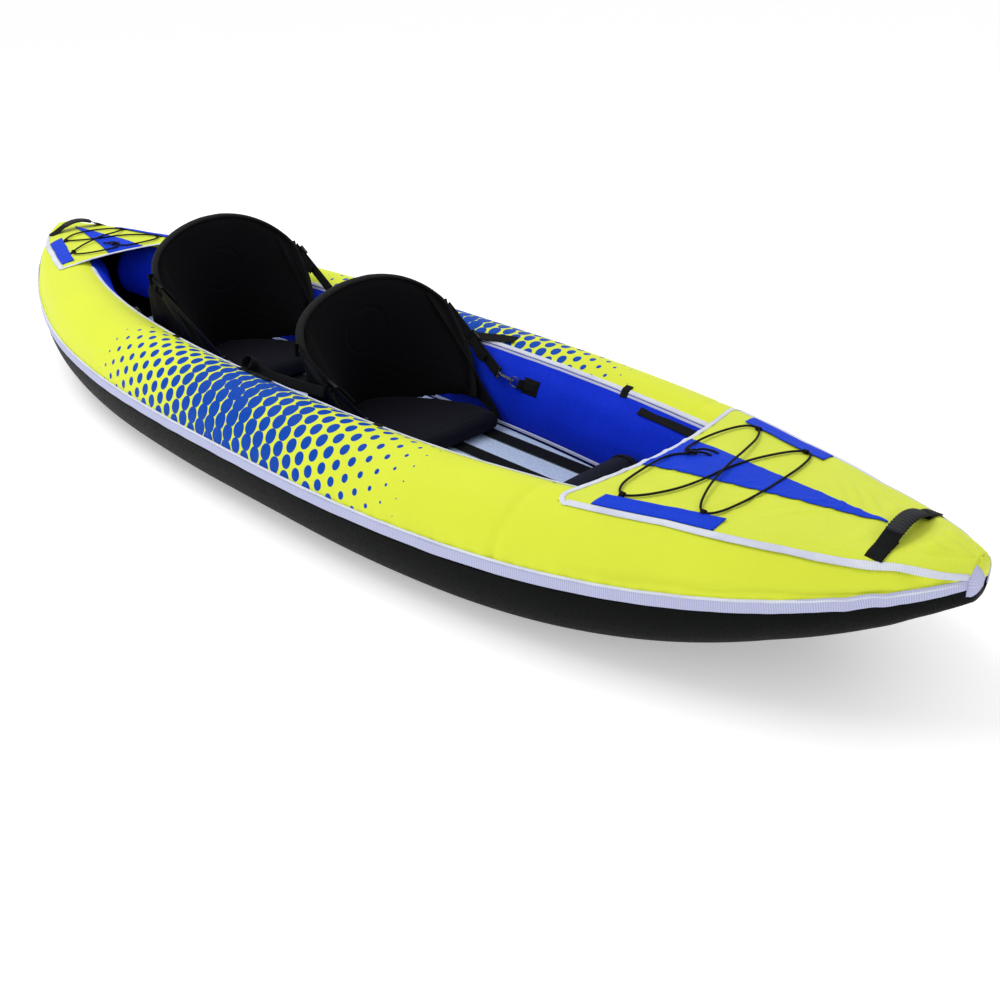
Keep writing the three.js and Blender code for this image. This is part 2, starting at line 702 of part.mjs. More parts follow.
function add(name, geometry, colour) {
  const [hex, roughness] = COLOURS[colour];
  const material = new THREE.MeshStandardMaterial({
    color: hex,
    roughness,
    metalness: colour === "metal" ? 0.9 : 0,
  });
  const mesh = new THREE.Mesh(geometry, material);
  mesh.name = name;
  kayak.add(mesh);
}

const floorValveAt = v(FLOOR_VALVE_X, 0, floorTop(FLOOR_VALVE_X) + 2.4);
const up = v(0, 0, 1);

add("bottom_panel", bottomPanel(), "lower");
add("floor_chamber", floorChamber(valveHole(floorValveAt, up)), "floor");
for (const [name, side] of Object.entries(SIDES)) {
  const valveAt = onTube(VALVE_X, VALVE_ANGLE, side, 2.6);
  const valveAxis = tubeNormal(VALVE_X, VALVE_ANGLE, side);
  const hole = valveHole(valveAt, valveAxis);
  add(`bilge_panel_${name}`, bilgePanel(side), "lower");
  add(`side_cover_${name}`, sideCover(side), "cover");
  add(`inner_wall_${name}`, cut(innerWall(side), hole), "liner");
  add(`side_chamber_${name}`, sideChamber(side, hole), "bladder");
  add(`seam_tape_${name}`, seamTape(side), "tape");
  add(`rim_piping_${name}`, rimPiping(side), "tape");
  add(`floor_strip_${name}`, floorStrip(side), "webbing");
  add(`bow_flap_${name}`, deckFlap(side, 985, 1250), "liner");
  add(`stern_flap_${name}`, deckFlap(side, -1466, -1240), "liner");
  add(`valve_${name}`, valveBody(valveAt, valveAxis), "plastic");
  add(`valve_cap_${name}`, valveCap(valveAt, valveAxis), "plastic");
}
add("valve_floor", valveBody(floorValveAt, up), "plastic");
add("valve_cap_floor", valveCap(floorValveAt, up), "plastic");

add("bow_deck", deck(BOW_DECK_X, TIP_X), "cover");
add("bow_centre_panel", centrePanel(BOW_DECK_X + 12, 1462, 83), "liner");
add("bow_deck_piping", deckPiping(BOW_DECK_X, PIPING_END_X), "tape");
add("bow_stem_tape", stemTape(1), "tape");
add("bow_bungee", bungee(BOW_DECK_X, 1, 1), "cordage");
add("stern_deck", deck(-TIP_X, STERN_DECK_X), "cover");
add("stern_centre_panel", centrePanel(STERN_DECK_X - 12, -1520, 60), "liner");
add("stern_deck_piping", deckPiping(STERN_DECK_X, -PIPING_END_X), "tape");
add("stern_stem_tape", stemTape(-1), "tape");
add("stern_bungee", bungee(STERN_DECK_X, -1, 0.95), "cordage");

for (const [name, handle] of Object.entries(HANDLES)) {
  add(`${name}_handle_strap`, handleStrap(handle), "webbing");
  add(`${name}_handle_grip`, handleGrip(handle), "rubber");
}

for (const [seatName, seat] of Object.entries(SEATS)) {
  add(`${seatName}_seat_pad`, seatPad(seat), "seat");
  add(`${seatName}_backrest`, backrest(seat), "seat");
  for (const [name, side] of Object.entries(SIDES)) {
    add(`${seatName}_strap_${name}`, seatStrap(seatName, side), "webbing");
    add(`${seatName}_hook_${name}`, snapHook(seatName, side), "metal");
    add(`${seatName}_ring_${name}`, strapRing(seatName, side), "webbing");
  }
}

add("footrest", footrest(), "seat");
add("paddle_strap_starboard", paddleStrap(-1, -125, 0, 112, 112), "webbing");
add("paddle_strap_port", paddleStrap(1, 85, 240, 112, 106), "webbing");

export default kayak;
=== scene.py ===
import json
import math
from collections import namedtuple

import bmesh
import bpy
import numpy as np
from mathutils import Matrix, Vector, noise


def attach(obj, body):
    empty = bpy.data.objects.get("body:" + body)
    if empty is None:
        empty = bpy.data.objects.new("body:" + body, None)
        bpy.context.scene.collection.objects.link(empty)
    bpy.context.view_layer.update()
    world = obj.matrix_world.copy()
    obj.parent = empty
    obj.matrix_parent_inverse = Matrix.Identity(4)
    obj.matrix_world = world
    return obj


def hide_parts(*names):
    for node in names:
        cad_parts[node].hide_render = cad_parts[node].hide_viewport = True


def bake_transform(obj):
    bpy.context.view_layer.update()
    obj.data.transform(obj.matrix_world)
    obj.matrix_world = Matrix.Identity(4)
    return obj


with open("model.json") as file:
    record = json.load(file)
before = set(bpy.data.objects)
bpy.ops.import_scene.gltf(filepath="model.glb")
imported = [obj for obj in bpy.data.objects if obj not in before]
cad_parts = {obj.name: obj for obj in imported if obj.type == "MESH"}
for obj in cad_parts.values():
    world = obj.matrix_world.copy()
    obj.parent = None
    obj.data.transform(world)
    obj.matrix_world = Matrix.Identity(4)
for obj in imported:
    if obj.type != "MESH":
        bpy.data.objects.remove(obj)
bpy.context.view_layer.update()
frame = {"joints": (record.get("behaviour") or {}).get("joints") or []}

# ---- the hull's driving dimensions, in metres, as in the CAD part ----
HALF_LENGTH = 1.650
TIP_X = 1.640
HALF_BEAM = 0.467
TUBE_HALF_WIDTH = 0.120
TUBE_TOP = 0.296
TOP_RISE = 0.036
FLAT_KEEL = 0.400
BOTTOM_RISE = 0.259
RIM_ANGLE = 120
LINER_FOOT_ANGLE = 210
DECK_EDGE_ANGLE = 75
EDGE_SLOW_DROP = (20, 1.150, 0.350)
EDGE_FAST_DROP = (34, 1.530, 0.110)
EDGE_DIP = 0.031
BOW_DECK_X = 0.940
HANDLES = {"bow": (1.497, 0.084), "stern": (-1.530, 0.080)}
STERN_DECK_X = -1.180
LINER_END_X = 1.330
CORNER = 0.022
DECK_CROWN = 0.008
DECK_CROWN_BEAM = 0.389
FLOOR_TOP = 0.085
FLOOR_END_X = 1.200
FLOOR_SIDE_GAP = 0.231
SIDES = {"starboard": -1, "port": 1}
UP = Vector((0, 0, 1))
AHEAD = Vector((1, 0, 0))


def cos_deg(degrees):
    return math.cos(math.radians(degrees))


def sin_deg(degrees):
    return math.sin(math.radians(degrees))


# Smooth noise from -1 to 1.
def waver(x, y, z):
    return noise.noise(Vector((x, y, z)))


# ---- the hull's shape ----
# The cross-section at x: half beam, lowest and highest z, and each tube's half width, half height and centre.
Section = namedtuple("Section", "beam bottom top ry rz yc zc")


def hull(x):
    s = min(abs(x) / HALF_LENGTH, 1)
    beam = HALF_BEAM * (1 - s ** 2.7) ** 0.736
    bottom = BOTTOM_RISE * max(0, (abs(x) - FLAT_KEEL) / (HALF_LENGTH - FLAT_KEEL)) ** 3.24
    top = TUBE_TOP + TOP_RISE * s ** 2.1
    ry = min(TUBE_HALF_WIDTH, beam / 2)
    return Section(beam, bottom, top, ry, (top - bottom) / 2, beam - ry, (top + bottom) / 2)


def smooth(a, b, t):
    t = min(1, max(0, (t - a) / (b - a)))
    return t * t * (3 - 2 * t)


# Slow unevenness of the inflated skin, in metres along its normal.
def swell(x, y, z):
    slow = waver(x * 3.1, y * 5.0, z * 5.0)
    tip = smooth(1.30, 1.60, abs(x))
    fine = waver(x * 16, y * 24, z * 24 + 7)
    return 0.0014 * slow + tip * 0.0022 * fine


def on_tube(x, degrees, side, lift=0.0):
    beam, bottom, top, ry, rz, yc, zc = hull(x)
    c, s = cos_deg(degrees), sin_deg(degrees)
    lift += swell(x, side * (yc + ry * c), zc + rz * s)
    return Vector((x, side * (yc + (ry + lift) * c), zc + (rz + lift) * s))


def tube_normal(x, degrees, side):
    lengthwise = on_tube(x + 0.01, degrees, side) - on_tube(x - 0.01, degrees, side)
    around = on_tube(x, degrees + 2, side) - on_tube(x, degrees - 2, side)
    return (around.cross(lengthwise) * side).normalized()


# Folds of the deck: fine diagonal ones over the middle, and a hump and creases before the tip.
def deck_folds(x, y, yc):
    inner = smooth(0, 0.35, 1 - abs(y) / yc)
    ahead = smooth(1.42, 1.50, x)
    hump = 0.016 * ahead * smooth(0, 0.10, 1.655 - x) * inner
    along = x * 0.80 + abs(y) * 0.60
    wander = waver(x * 9, y * 9, 1.5)
    fold = math.sin(2 * math.pi * along / 0.034 + 3.2 * wander)
    patchy = max(0, waver(x * 7, y * 7, 4.0) + 0.25)
    creases = 0.0016 * ahead * math.sin(2 * math.pi * (y * 1.1 + 0.3 * x) / 0.030 + 4 * wander)
    return hump + inner * (0.0036 * patchy * max(0, fold) ** 2 + creases)


def edge_drop(x, drop, power):
    degrees, start, length = drop
    return degrees * min(1, max(0, (abs(x) - start) / length)) ** power


def deck_edge_angle(x):
    return DECK_EDGE_ANGLE - edge_drop(x, EDGE_SLOW_DROP, 1) - edge_drop(x, EDGE_FAST_DROP, 1.5)


# How much higher the deck's edge lies where it leaves the tube's crest.
def tip_lift(x):
    return 0.0020 * min(1, (DECK_EDGE_ANGLE - deck_edge_angle(x)) / 8)


def deck_edge(x):
    beam, bottom, top, ry, rz, yc, zc = hull(x)
    return yc + ry * cos_deg(deck_edge_angle(x))


# A point on the deck, straight over (x, y).
def deck_surface(x, y, lift):
    beam, bottom, top, ry, rz, yc, zc = hull(x)
    past = abs(y) - yc
    lift += tip_lift(x)
    if past > 0:
        degrees = math.degrees(math.acos(min(1, past / ry)))
        return on_tube(x, degrees, 1 if y > 0 else -1, lift)
    edge = BOW_DECK_X if x > 0 else STERN_DECK_X
    grown = 0.35 + 0.65 * smooth(0, 0.12, abs(x) - abs(edge))
    crown = DECK_CROWN * grown * min(1, beam / DECK_CROWN_BEAM) * (1 - (y / yc) ** 2)
    z = top + crown
    handle_x = HANDLES["bow" if x > 0 else "stern"][0]
    taut = smooth(0.022, 0.075, abs(x - handle_x))
    return Vector((x, y, z + lift + taut * (swell(x, y, z) + deck_folds(x, y, yc))))


# The same point of the sewn deck cloth: near the cockpit it is drawn towards the tip at the centreline.
def deck_point(x, y, lift):
    edge, free = (BOW_DECK_X, 1.160) if x > 0 else (STERN_DECK_X, -1.330)
    fade = max(0, min(1, (free - x) / (free - edge)))
    hollow = max(0, 1 - (y / hull(x).yc) ** 2)
    p = deck_surface(x, y, lift)
    p.x += math.copysign(EDGE_DIP * fade * hollow, x)
    return p


def deck_columns(x, inner, shoulder):
    beam, bottom, top, ry, rz, yc, zc = hull(x)
    span = 90 - deck_edge_angle(x)
    outer = [yc + ry * sin_deg(span * (i + 1) / shoulder) for i in range(shoulder)]
    return [-y for y in reversed(outer)] + list(np.linspace(-yc, yc, inner)) + outer


def floor_top(x):
    return FLOOR_TOP + hull(x).bottom / 12


# ---- mesh helpers ----
def shade_smooth(mesh):
    for polygon in mesh.polygons:
        polygon.use_smooth = True


def link_mesh(name, mesh):
    shade_smooth(mesh)
    obj = bpy.data.objects.new(name, mesh)
    bpy.context.collection.objects.link(obj)
    return obj


def link_bmesh(name, work):
    mesh = bpy.data.meshes.new(name)
    work.to_mesh(mesh)
    work.free()
    return link_mesh(name, mesh)


def object_from(name, points, faces, uvs=None):
    mesh = bpy.data.meshes.new(name)
    mesh.from_pydata([tuple(p) for p in points], [], faces)
    if uvs is not None:
        layer = mesh.uv_layers.new(name="cloth")
        flat = [c for face in uvs for uv in face for c in uv]
        layer.data.foreach_set("uv", flat)
    return link_mesh(name, mesh)


# A sheet through rows of points; its cloth coordinates are (u, v) in metres.
def sheet_mesh(name, rows, uv_rows=None, closed=False, caps=False):
    n = len(rows[0])
    points = [p for row in rows for p in row]
    faces, uvs = [], []
    for i in range(len(rows) - 1):
        for j in range(n if closed else n - 1):
            k = (j + 1) % n
            faces.append((i * n + j, i * n + k, (i + 1) * n + k, (i + 1) * n + j))
            if uv_rows:
                uvs.append((uv_rows[i][j], uv_rows[i][j + 1], uv_rows[i + 1][j + 1], uv_rows[i + 1][j]))
    if caps:
        last = (len(rows) - 1) * n
        faces.append(tuple(reversed(range(n))))
        faces.append(tuple(last + j for j in range(n)))
        if uv_rows:
            uvs.append(tuple(uv_rows[0][j] for j in reversed(range(n))))
            uvs.append(tuple(uv_rows[-1][j] for j in range(n)))
    return object_from(name, points, faces, uvs if uv_rows else None)


def thicken(obj, thickness, offset=-1.0):
    solid = obj.modifiers.new("thickness", "SOLIDIFY")
    solid.thickness = thickness
    solid.offset = offset
    apply_modifiers(obj)
    return obj


def apply_modifiers(obj):
    graph = bpy.context.evaluated_depsgraph_get()
    graph.update()
    mesh = bpy.data.meshes.new_from_object(obj.evaluated_get(graph))
    obj.modifiers.clear()
    old = obj.data
    obj.data = mesh
    bpy.data.meshes.remove(old)
    shade_smooth(obj.data)


def face_out(obj):
    work = bmesh.new()
    work.from_mesh(obj.data)
    bmesh.ops.recalc_face_normals(work, faces=work.faces)
    work.to_mesh(obj.data)
    work.free()
    return obj


# Points along a smooth curve through given ones.
def curve_points(points, count):
    p = [Vector(q) for q in points]
    p = [2 * p[0] - p[1]] + p + [2 * p[-1] - p[-2]]
    spans = len(p) - 3
    out = []
    for i in range(count):
        t = i / (count - 1) * spans
        k = min(int(t), spans - 1)
        t -= k
        a, b, c, d = p[k:k + 4]
        out.append(0.5 * (2 * b + (c - a) * t + (2 * a - 5 * b + 4 * c - d) * t * t
                          + (3 * b - a - 3 * c + d) * t ** 3))
    return out


# The direction of a path at each of its points.
def directions(path):
    last = len(path) - 1
    return [(path[min(i + 1, last)] - path[max(i - 1, 0)]).normalized() for i in range(last + 1)]


# A body swept along a path. The section's points are (across, up); ups gives the way up at each point.
def sweep(name, path, ups, section, scales=None):
    rows, uv_rows = [], []
    travelled = 0.0
    around = [0.0]
    for i in range(len(section)):
        a, b = section[i], section[(i + 1) % len(section)]
        around.append(around[-1] + math.hypot(b[0] - a[0], b[1] - a[1]))
    for i, (point, tangent) in enumerate(zip(path, directions(path))):
        side = ups[i].cross(tangent).normalized()
        up = tangent.cross(side).normalized()
        s = scales[i] if scales else (1, 1)
        rows.append([point + side * (a * s[0]) + up * (b * s[1]) for a, b in section])
        travelled += (point - path[max(i - 1, 0)]).length
        uv_rows.append([(travelled, v) for v in around])
    return face_out(sheet_mesh(name, rows, uv_rows, closed=True, caps=True))


def round_section(radius, count=10, flat=1.0):
    return [(radius * math.cos(2 * math.pi * i / count), flat * radius * math.sin(2 * math.pi * i / count))
            for i in range(count)]


# Webbing or tape: a flat section with soft edges.
def flat_section(width, thickness, steps=6):
    w, t = width / 2, thickness / 2
    top = [(-w + t + (width - 2 * t) * i / steps, t) for i in range(steps + 1)]
    low = [(a, -b) for a, b in reversed(top)]
    return top + [(w, 0)] + low + [(-w, 0)]


def cord_mesh(name, points, radius, count):
    path = curve_points(points, count)
    ups = [UP]
    for tangent in directions(path)[1:]:
        up = ups[-1] - tangent * ups[-1].dot(tangent)
        ups.append(up.normalized())
    return sweep(name, path, ups, round_section(radius))


def rounded_box(name, centre, axes, size, bevel):
    work = bmesh.new()
    bmesh.ops.create_cube(work, size=1)
    for vert in work.verts:
        local = vert.co.copy()
        vert.co = Vector(centre) + sum((axes[k] * (local[k] * size[k]) for k in range(3)), Vector())
    bmesh.ops.bevel(work, geom=work.edges[:], offset=bevel, segments=3, affect="EDGES", profile=0.6)
    return face_out(link_bmesh(name, work))


def merge(name, parts):
    work = bmesh.new()
    for part in parts:
        work.from_mesh(part.data)
    for part in parts:
        bpy.data.objects.remove(part)
    return link_bmesh(name, work)


def turned(name, profile, base, axis, segments=48, ripple=None):
    axis = Vector(axis).normalized()
    turn = UP.rotation_difference(axis)
    rows = []
    for r, h in profile:
        ring = []
        for i in range(segments):
            a = 2 * math.pi * i / segments
            rr = r * (1 + (ripple(a, r, h) if ripple else 0))
            ring.append(Vector(base) + turn @ Vector((rr * math.cos(a), rr * math.sin(a), h)))
        rows.append(ring)
    return face_out(sheet_mesh(name, rows, closed=True, caps=True))


# ---- materials ----
class Shader:
    """One procedural material, with short calls for its nodes."""

    def __init__(self, name, roughness=0.6, sheen=0.0, specular=0.5, metallic=0.0):
        self.material = bpy.data.materials.new(name)
        self.material.use_nodes = True
        self.tree = self.material.node_tree
        self.bsdf = self.tree.nodes["Principled BSDF"]
        self.bsdf.inputs["Roughness"].default_value = roughness
        self.bsdf.inputs["Sheen Weight"].default_value = sheen
        self.bsdf.inputs["Sheen Roughness"].default_value = 0.4
        self.bsdf.inputs["Specular IOR Level"].default_value = specular
        self.bsdf.inputs["Metallic"].default_value = metallic

    def node(self, kind, **settings):
        node = self.tree.nodes.new(kind)
        for key, value in settings.items():
            setattr(node, key, value)
        return node

    def put(self, socket, value):
        if hasattr(value, "is_linked"):
            self.tree.links.new(value, socket)
        else:
            socket.default_value = value

    def place(self):
        return self.node("ShaderNodeTexCoord").outputs["Object"]

    def cloth(self):
        return self.node("ShaderNodeUVMap", uv_map="cloth").outputs["UV"]

    def math(self, operation, a, b=0.0, c=0.0):
        node = self.node("ShaderNodeMath", operation=operation)
        for socket, value in zip(node.inputs, (a, b, c)):
            self.put(socket, value)
        return node.outputs[0]

    def vector(self, operation, a, b=(0, 0, 0)):
        node = self.node("ShaderNodeVectorMath", operation=operation)
        self.put(node.inputs[0], a)
        self.put(node.inputs[1], b)
        return node.outputs["Value" if operation in ("LENGTH", "DOT_PRODUCT") else "Vector"]

    def noise(self, where, scale, detail=3.0, rough=0.55):
        node = self.node("ShaderNodeTexNoise")
        self.put(node.inputs["Vector"], where)
        node.inputs["Scale"].default_value = scale
        node.inputs["Detail"].default_value = detail
        node.inputs["Roughness"].default_value = rough
        return node.outputs["Fac"]

    # Sine bands with this period in metres, from 0 to 1.
    def bands(self, where, axis, period):
        split = self.node("ShaderNodeSeparateXYZ")
        self.put(split.inputs[0], where)
        turns = self.math("MULTIPLY", split.outputs[axis], 2 * math.pi / period)
        return self.math("MULTIPLY_ADD", self.math("SINE", turns), 0.5, 0.5)

    def ramp(self, fac, *stops):
        node = self.node("ShaderNodeValToRGB")
        self.put(node.inputs[0], fac)
        while len(node.color_ramp.elements) < len(stops):
            node.color_ramp.elements.new(0.5)
        for element, (position, colour) in zip(node.color_ramp.elements, stops):
            element.position = position
            element.color = (*colour, 1) if len(colour) == 3 else colour
        return node.outputs["Color"]

    def mix(self, fac, a, b, blend="MIX"):
        node = self.node("ShaderNodeMix", data_type="RGBA", blend_type=blend)
        self.put(node.inputs["Factor"], fac)
        self.put(node.inputs[6], a if hasattr(a, "is_linked") else (*a, 1))
        self.put(node.inputs[7], b if hasattr(b, "is_linked") else (*b, 1))
        return node.outputs[2]

    def range(self, value, a, b, low, high):
        node = self.node("ShaderNodeMapRange")
        for socket, v in zip(node.inputs, (value, a, b, low, high)):
            self.put(socket, v)
        return node.outputs[0]

    def colour(self, value):
        self.put(self.bsdf.inputs["Base Color"], value)

    def roughness(self, value):
        self.put(self.bsdf.inputs["Roughness"], value)

    def bump(self, height, distance, strength=1.0, under=None):
        node = self.node("ShaderNodeBump")
        self.put(node.inputs["Height"], height)
        node.inputs["Distance"].default_value = distance
        node.inputs["Strength"].default_value = strength
        if under:
            self.put(node.inputs["Normal"], under)
        self.put(self.bsdf.inputs["Normal"], node.outputs[0])
        return node.outputs[0]


def shade(colour, factor):
    return tuple(c * factor for c in colour)


def weave_height(s, where, period):
    a = s.bands(where, 0, period)
    b = s.bands(where, 1, period)
    return s.math("MULTIPLY", a, b)


def woven(name, base, period, mottle, rough, bump, spots, specular, wrinkle=0.0, fleck=0.30):
    s = Shader(name, rough, 0.0, specular)
    where = s.cloth()
    slow = s.noise(s.place(), 9.0, 4.0)
    grain = s.noise(s.place(), spots, 2.0)
    tone = s.mix(slow, shade(base, 1 - mottle), shade(base, 1 + mottle))
    flecks = s.ramp(grain, (0.35, (0, 0, 0)), (0.68, (1, 1, 1)))
    s.colour(s.mix(flecks, tone, s.mix(fleck, tone, shade(base, 0.45))))
    s.roughness(s.range(grain, 0.3, 0.7, rough - 0.06, rough + 0.08))
    first = None
    if wrinkle:
        first = s.bump(s.noise(s.place(), 26.0, 5.0, 0.5), wrinkle, 0.6)
    s.bump(weave_height(s, where, period), bump, 0.7, first)
    return s.material


YELLOW = (0.770, 0.860, 0.050)
DECK_YELLOW = (0.730, 0.830, 0.070)
DOT_BLUE = (0.001, 0.062, 0.430)
LINER_BLUE = (0.006, 0.036, 0.720)
PANEL_BLUE = (0.007, 0.054, 0.720)
TAPE_WHITE = (0.560, 0.590, 0.840)
PIPING_WHITE = (0.820, 0.860, 0.960)
FLOOR_PALE = (0.530, 0.640, 0.860)
BLACK = (0.0060, 0.0066, 0.0070)
SEAT_BLACK = (0.0034, 0.0034, 0.0042)
PAD_BLACK = (0.0070, 0.0068, 0.0120)
ROLL_BLACK = (0.0100, 0.0120, 0.0220)

# Printed dots on the side tubes: a staggered grid that swells until it merges a little ahead of amidships.
DOT_STEP = 0.038
DOT_TALL = 1.16
DOT_SLANT = 0.19
DOT_RADII = ((-0.58, 0.0), (-0.50, 0.0070), (-0.40, 0.0105), (-0.30, 0.0135), (-0.20, 0.0160),
             (-0.10, 0.0178), (-0.03, 0.0206), (0.02, 0.0213), (0.07, 0.0205), (0.12, 0.0182),
             (0.30, 0.0165), (0.42, 0.0128), (0.55, 0.0068), (0.62, 0.0024), (0.70, 0.0))
DOT_START, DOT_SPAN = -0.7, 1.5


def dot_mask(s, where, shift):
    moved = s.vector("ADD", where, (shift[0], shift[1], 0))
    cell = (2 * DOT_STEP, DOT_STEP, 1)
    snapped = s.node("ShaderNodeVectorMath", operation="SNAP")
    s.put(snapped.inputs[0], s.vector("ADD", moved, (cell[0] / 2, cell[1] / 2, 0)))
    snapped.inputs[1].default_value = cell
    centre = snapped.outputs[0]
    away = s.vector("MULTIPLY", s.vector("SUBTRACT", moved, centre), (1, 1 / DOT_TALL, 0))
    split = s.node("ShaderNodeSeparateXYZ")
    s.put(split.inputs[0], s.vector("SUBTRACT", centre, (shift[0], shift[1], 0)))
    along = s.math("MULTIPLY_ADD", split.outputs[1], DOT_SLANT, split.outputs[0])
    curve = s.node("ShaderNodeFloatCurve")
    line = curve.mapping.curves[0]
    while len(line.points) < len(DOT_RADII):
        line.points.new(0.5, 0.5)
    for point, (x, radius) in zip(line.points, DOT_RADII):
        point.location = ((x - DOT_START) / DOT_SPAN, radius * 40)
        point.handle_type = "VECTOR"
    curve.mapping.update()
    s.put(curve.inputs["Value"], s.math("MULTIPLY_ADD", along, 1 / DOT_SPAN, -DOT_START / DOT_SPAN))
    chance = s.node("ShaderNodeTexWhiteNoise", noise_dimensions="2D")
    s.put(chance.inputs["Vector"], s.vector("MULTIPLY", centre, (13.7, 29.3, 1)))
    uneven = s.range(chance.outputs["Value"], 0, 1, 0.88, 1.04)
    radius = s.math("MULTIPLY", s.math("DIVIDE", curve.outputs[0], 40.0), uneven)
    gap = s.math("SUBTRACT", s.vector("LENGTH", away), radius)
    return s.math("MULTIPLY", s.range(gap, -0.0004, 0.0004, 1, 0), s.math("GREATER_THAN", radius, 0.0012))


def printed_cover():
    s = Shader("printed_cover", 0.45, 0.0, 0.07)
    where = s.cloth()
    slow = s.noise(s.place(), 5.0, 4.0)
    grain = s.noise(s.place(), 260, 2.0)
    tone = s.mix(slow, shade(YELLOW, 0.93), shade(YELLOW, 1.04))
    mask = s.math("MAXIMUM", dot_mask(s, where, (0, 0)), dot_mask(s, where, (DOT_STEP, DOT_STEP / 2)))
    ink = s.mix(s.noise(s.place(), 60, 3.0), shade(DOT_BLUE, 0.85), shade(DOT_BLUE, 1.15))
    tone = s.mix(mask, tone, ink)
    tone = s.mix(s.math("MULTIPLY", grain, 0.06), tone, shade(DOT_BLUE, 0.6))
    s.colour(tone)
    s.roughness(s.range(slow, 0.3, 0.7, 0.38, 0.50))
    soft = s.bump(s.noise(s.place(), 22.0, 4.0, 0.5), 0.0012, 0.45)
    s.bump(weave_height(s, where, 0.0014), 0.00016, 0.6, soft)
    return s.material


# Binding tape with fine ribs across its length; its colour is darker in the rib hollows and lighter on the
# crests, which is painted shade and painted highlight.
def ribbed_tape(name, base, rib, depth):
    s = Shader(name, 0.60, 0.03, 0.15)
    where = s.cloth()
    ribs = s.bands(where, 0, rib)
    slow = s.noise(s.place(), 14.0, 4.0)
    # painted shade in the rib hollows and painted highlight on the crests, following the rib bump
    tone = s.mix(ribs, shade(base, 0.74), shade(base, 1.04))
    tone = s.mix(s.ramp(slow, (0.42, (0, 0, 0)), (0.75, (0.6, 0.6, 0.6))), tone, (0.50, 0.50, 0.72))
    s.colour(tone)
    soft = s.bump(s.noise(s.place(), 40.0, 3.0), 0.0012, 0.5)
    s.bump(ribs, depth, 0.8, soft)
    return s.material


def webbing_material(name, base, rough):
    s = Shader(name, rough, 0.0, 0.10)
    where = s.cloth()
    ribs = s.bands(where, 0, 0.0030)
    rows = s.bands(where, 1, 0.0040)
    herring = s.math("MULTIPLY", ribs, rows)
    # the raised weave is painted lighter and its hollows darker: painted highlight and painted shade
    # following the weave bump
    s.colour(s.mix(herring, shade(base, 0.6), shade(base, 1.9)))
    s.bump(herring, 0.0006, 0.8)
    return s.material


def cord_material():
    s = Shader("braided_cord", 0.65, 0.0, 0.12)
    split = s.node("ShaderNodeSeparateXYZ")
    s.put(split.inputs[0], s.cloth())
    strands = []
    for slant in ("ADD", "SUBTRACT"):
        across = s.math(slant, split.outputs[0], split.outputs[1])
        strands.append(s.math("SINE", s.math("MULTIPLY", across, 2600)))
    braid = s.math("MAXIMUM", *strands)
    # the braid's strands are painted lighter on their crests and darker between them: painted highlight and
    # painted shade following the braid bump
    s.colour(s.mix(s.range(braid, -1, 1, 0, 1), shade(BLACK, 0.6), shade(BLACK, 2.2)))
    s.bump(braid, 0.0005, 0.9)
    return s.material


def moulded(name, base, rough, grain):
    s = Shader(name, rough, 0.0, 0.22)
    speck = s.noise(s.place(), grain, 2.0)
    scuff = s.noise(s.place(), 60, 5.0, 0.7)
    s.colour(s.mix(s.ramp(scuff, (0.55, (0, 0, 0)), (0.8, (1, 1, 1))), base, shade(base, 2.4)))
    s.roughness(s.range(scuff, 0.3, 0.8, rough - 0.08, rough + 0.18))
    s.bump(speck, 0.0002, 0.5)
    return s.material


def dark_metal():
    s = Shader("blackened_steel", 0.32, 0.0, 0.5, 1.0)
    wear = s.noise(s.place(), 180, 4.0, 0.7)
    worn = s.ramp(wear, (0.5, (0, 0, 0)), (0.75, (1, 1, 1)))
    s.colour(s.mix(worn, (0.06, 0.065, 0.075), (0.34, 0.35, 0.37)))
    s.roughness(s.range(wear, 0.3, 0.8, 0.25, 0.5))
    s.bump(wear, 0.0001, 0.4)
    return s.material


# Padded seat cloth: matt black with a short nap and faint creases.
def padded_cloth(name, base, wrinkle):
    s = Shader(name, 0.80, 0.02, 0.08)
    where = s.place()
    nap = s.noise(where, 900, 2.0)
    slow = s.noise(where, 12, 4.0)
    lint = s.noise(where, 320, 3.0, 0.7)
    tone = s.mix(slow, shade(base, 0.75), shade(base, 1.35))
    tone = s.mix(s.ramp(lint, (0.62, (0, 0, 0)), (0.80, (0.5, 0.5, 0.5))), tone, shade(base, 4.0))
    s.colour(tone)
    s.roughness(s.range(nap, 0.3, 0.7, 0.72, 0.92))
    creases = s.bump(s.noise(where, 24, 6.0, 0.55), wrinkle, 0.7)
    s.bump(nap, 0.0004, 0.7, creases)
    return s.material
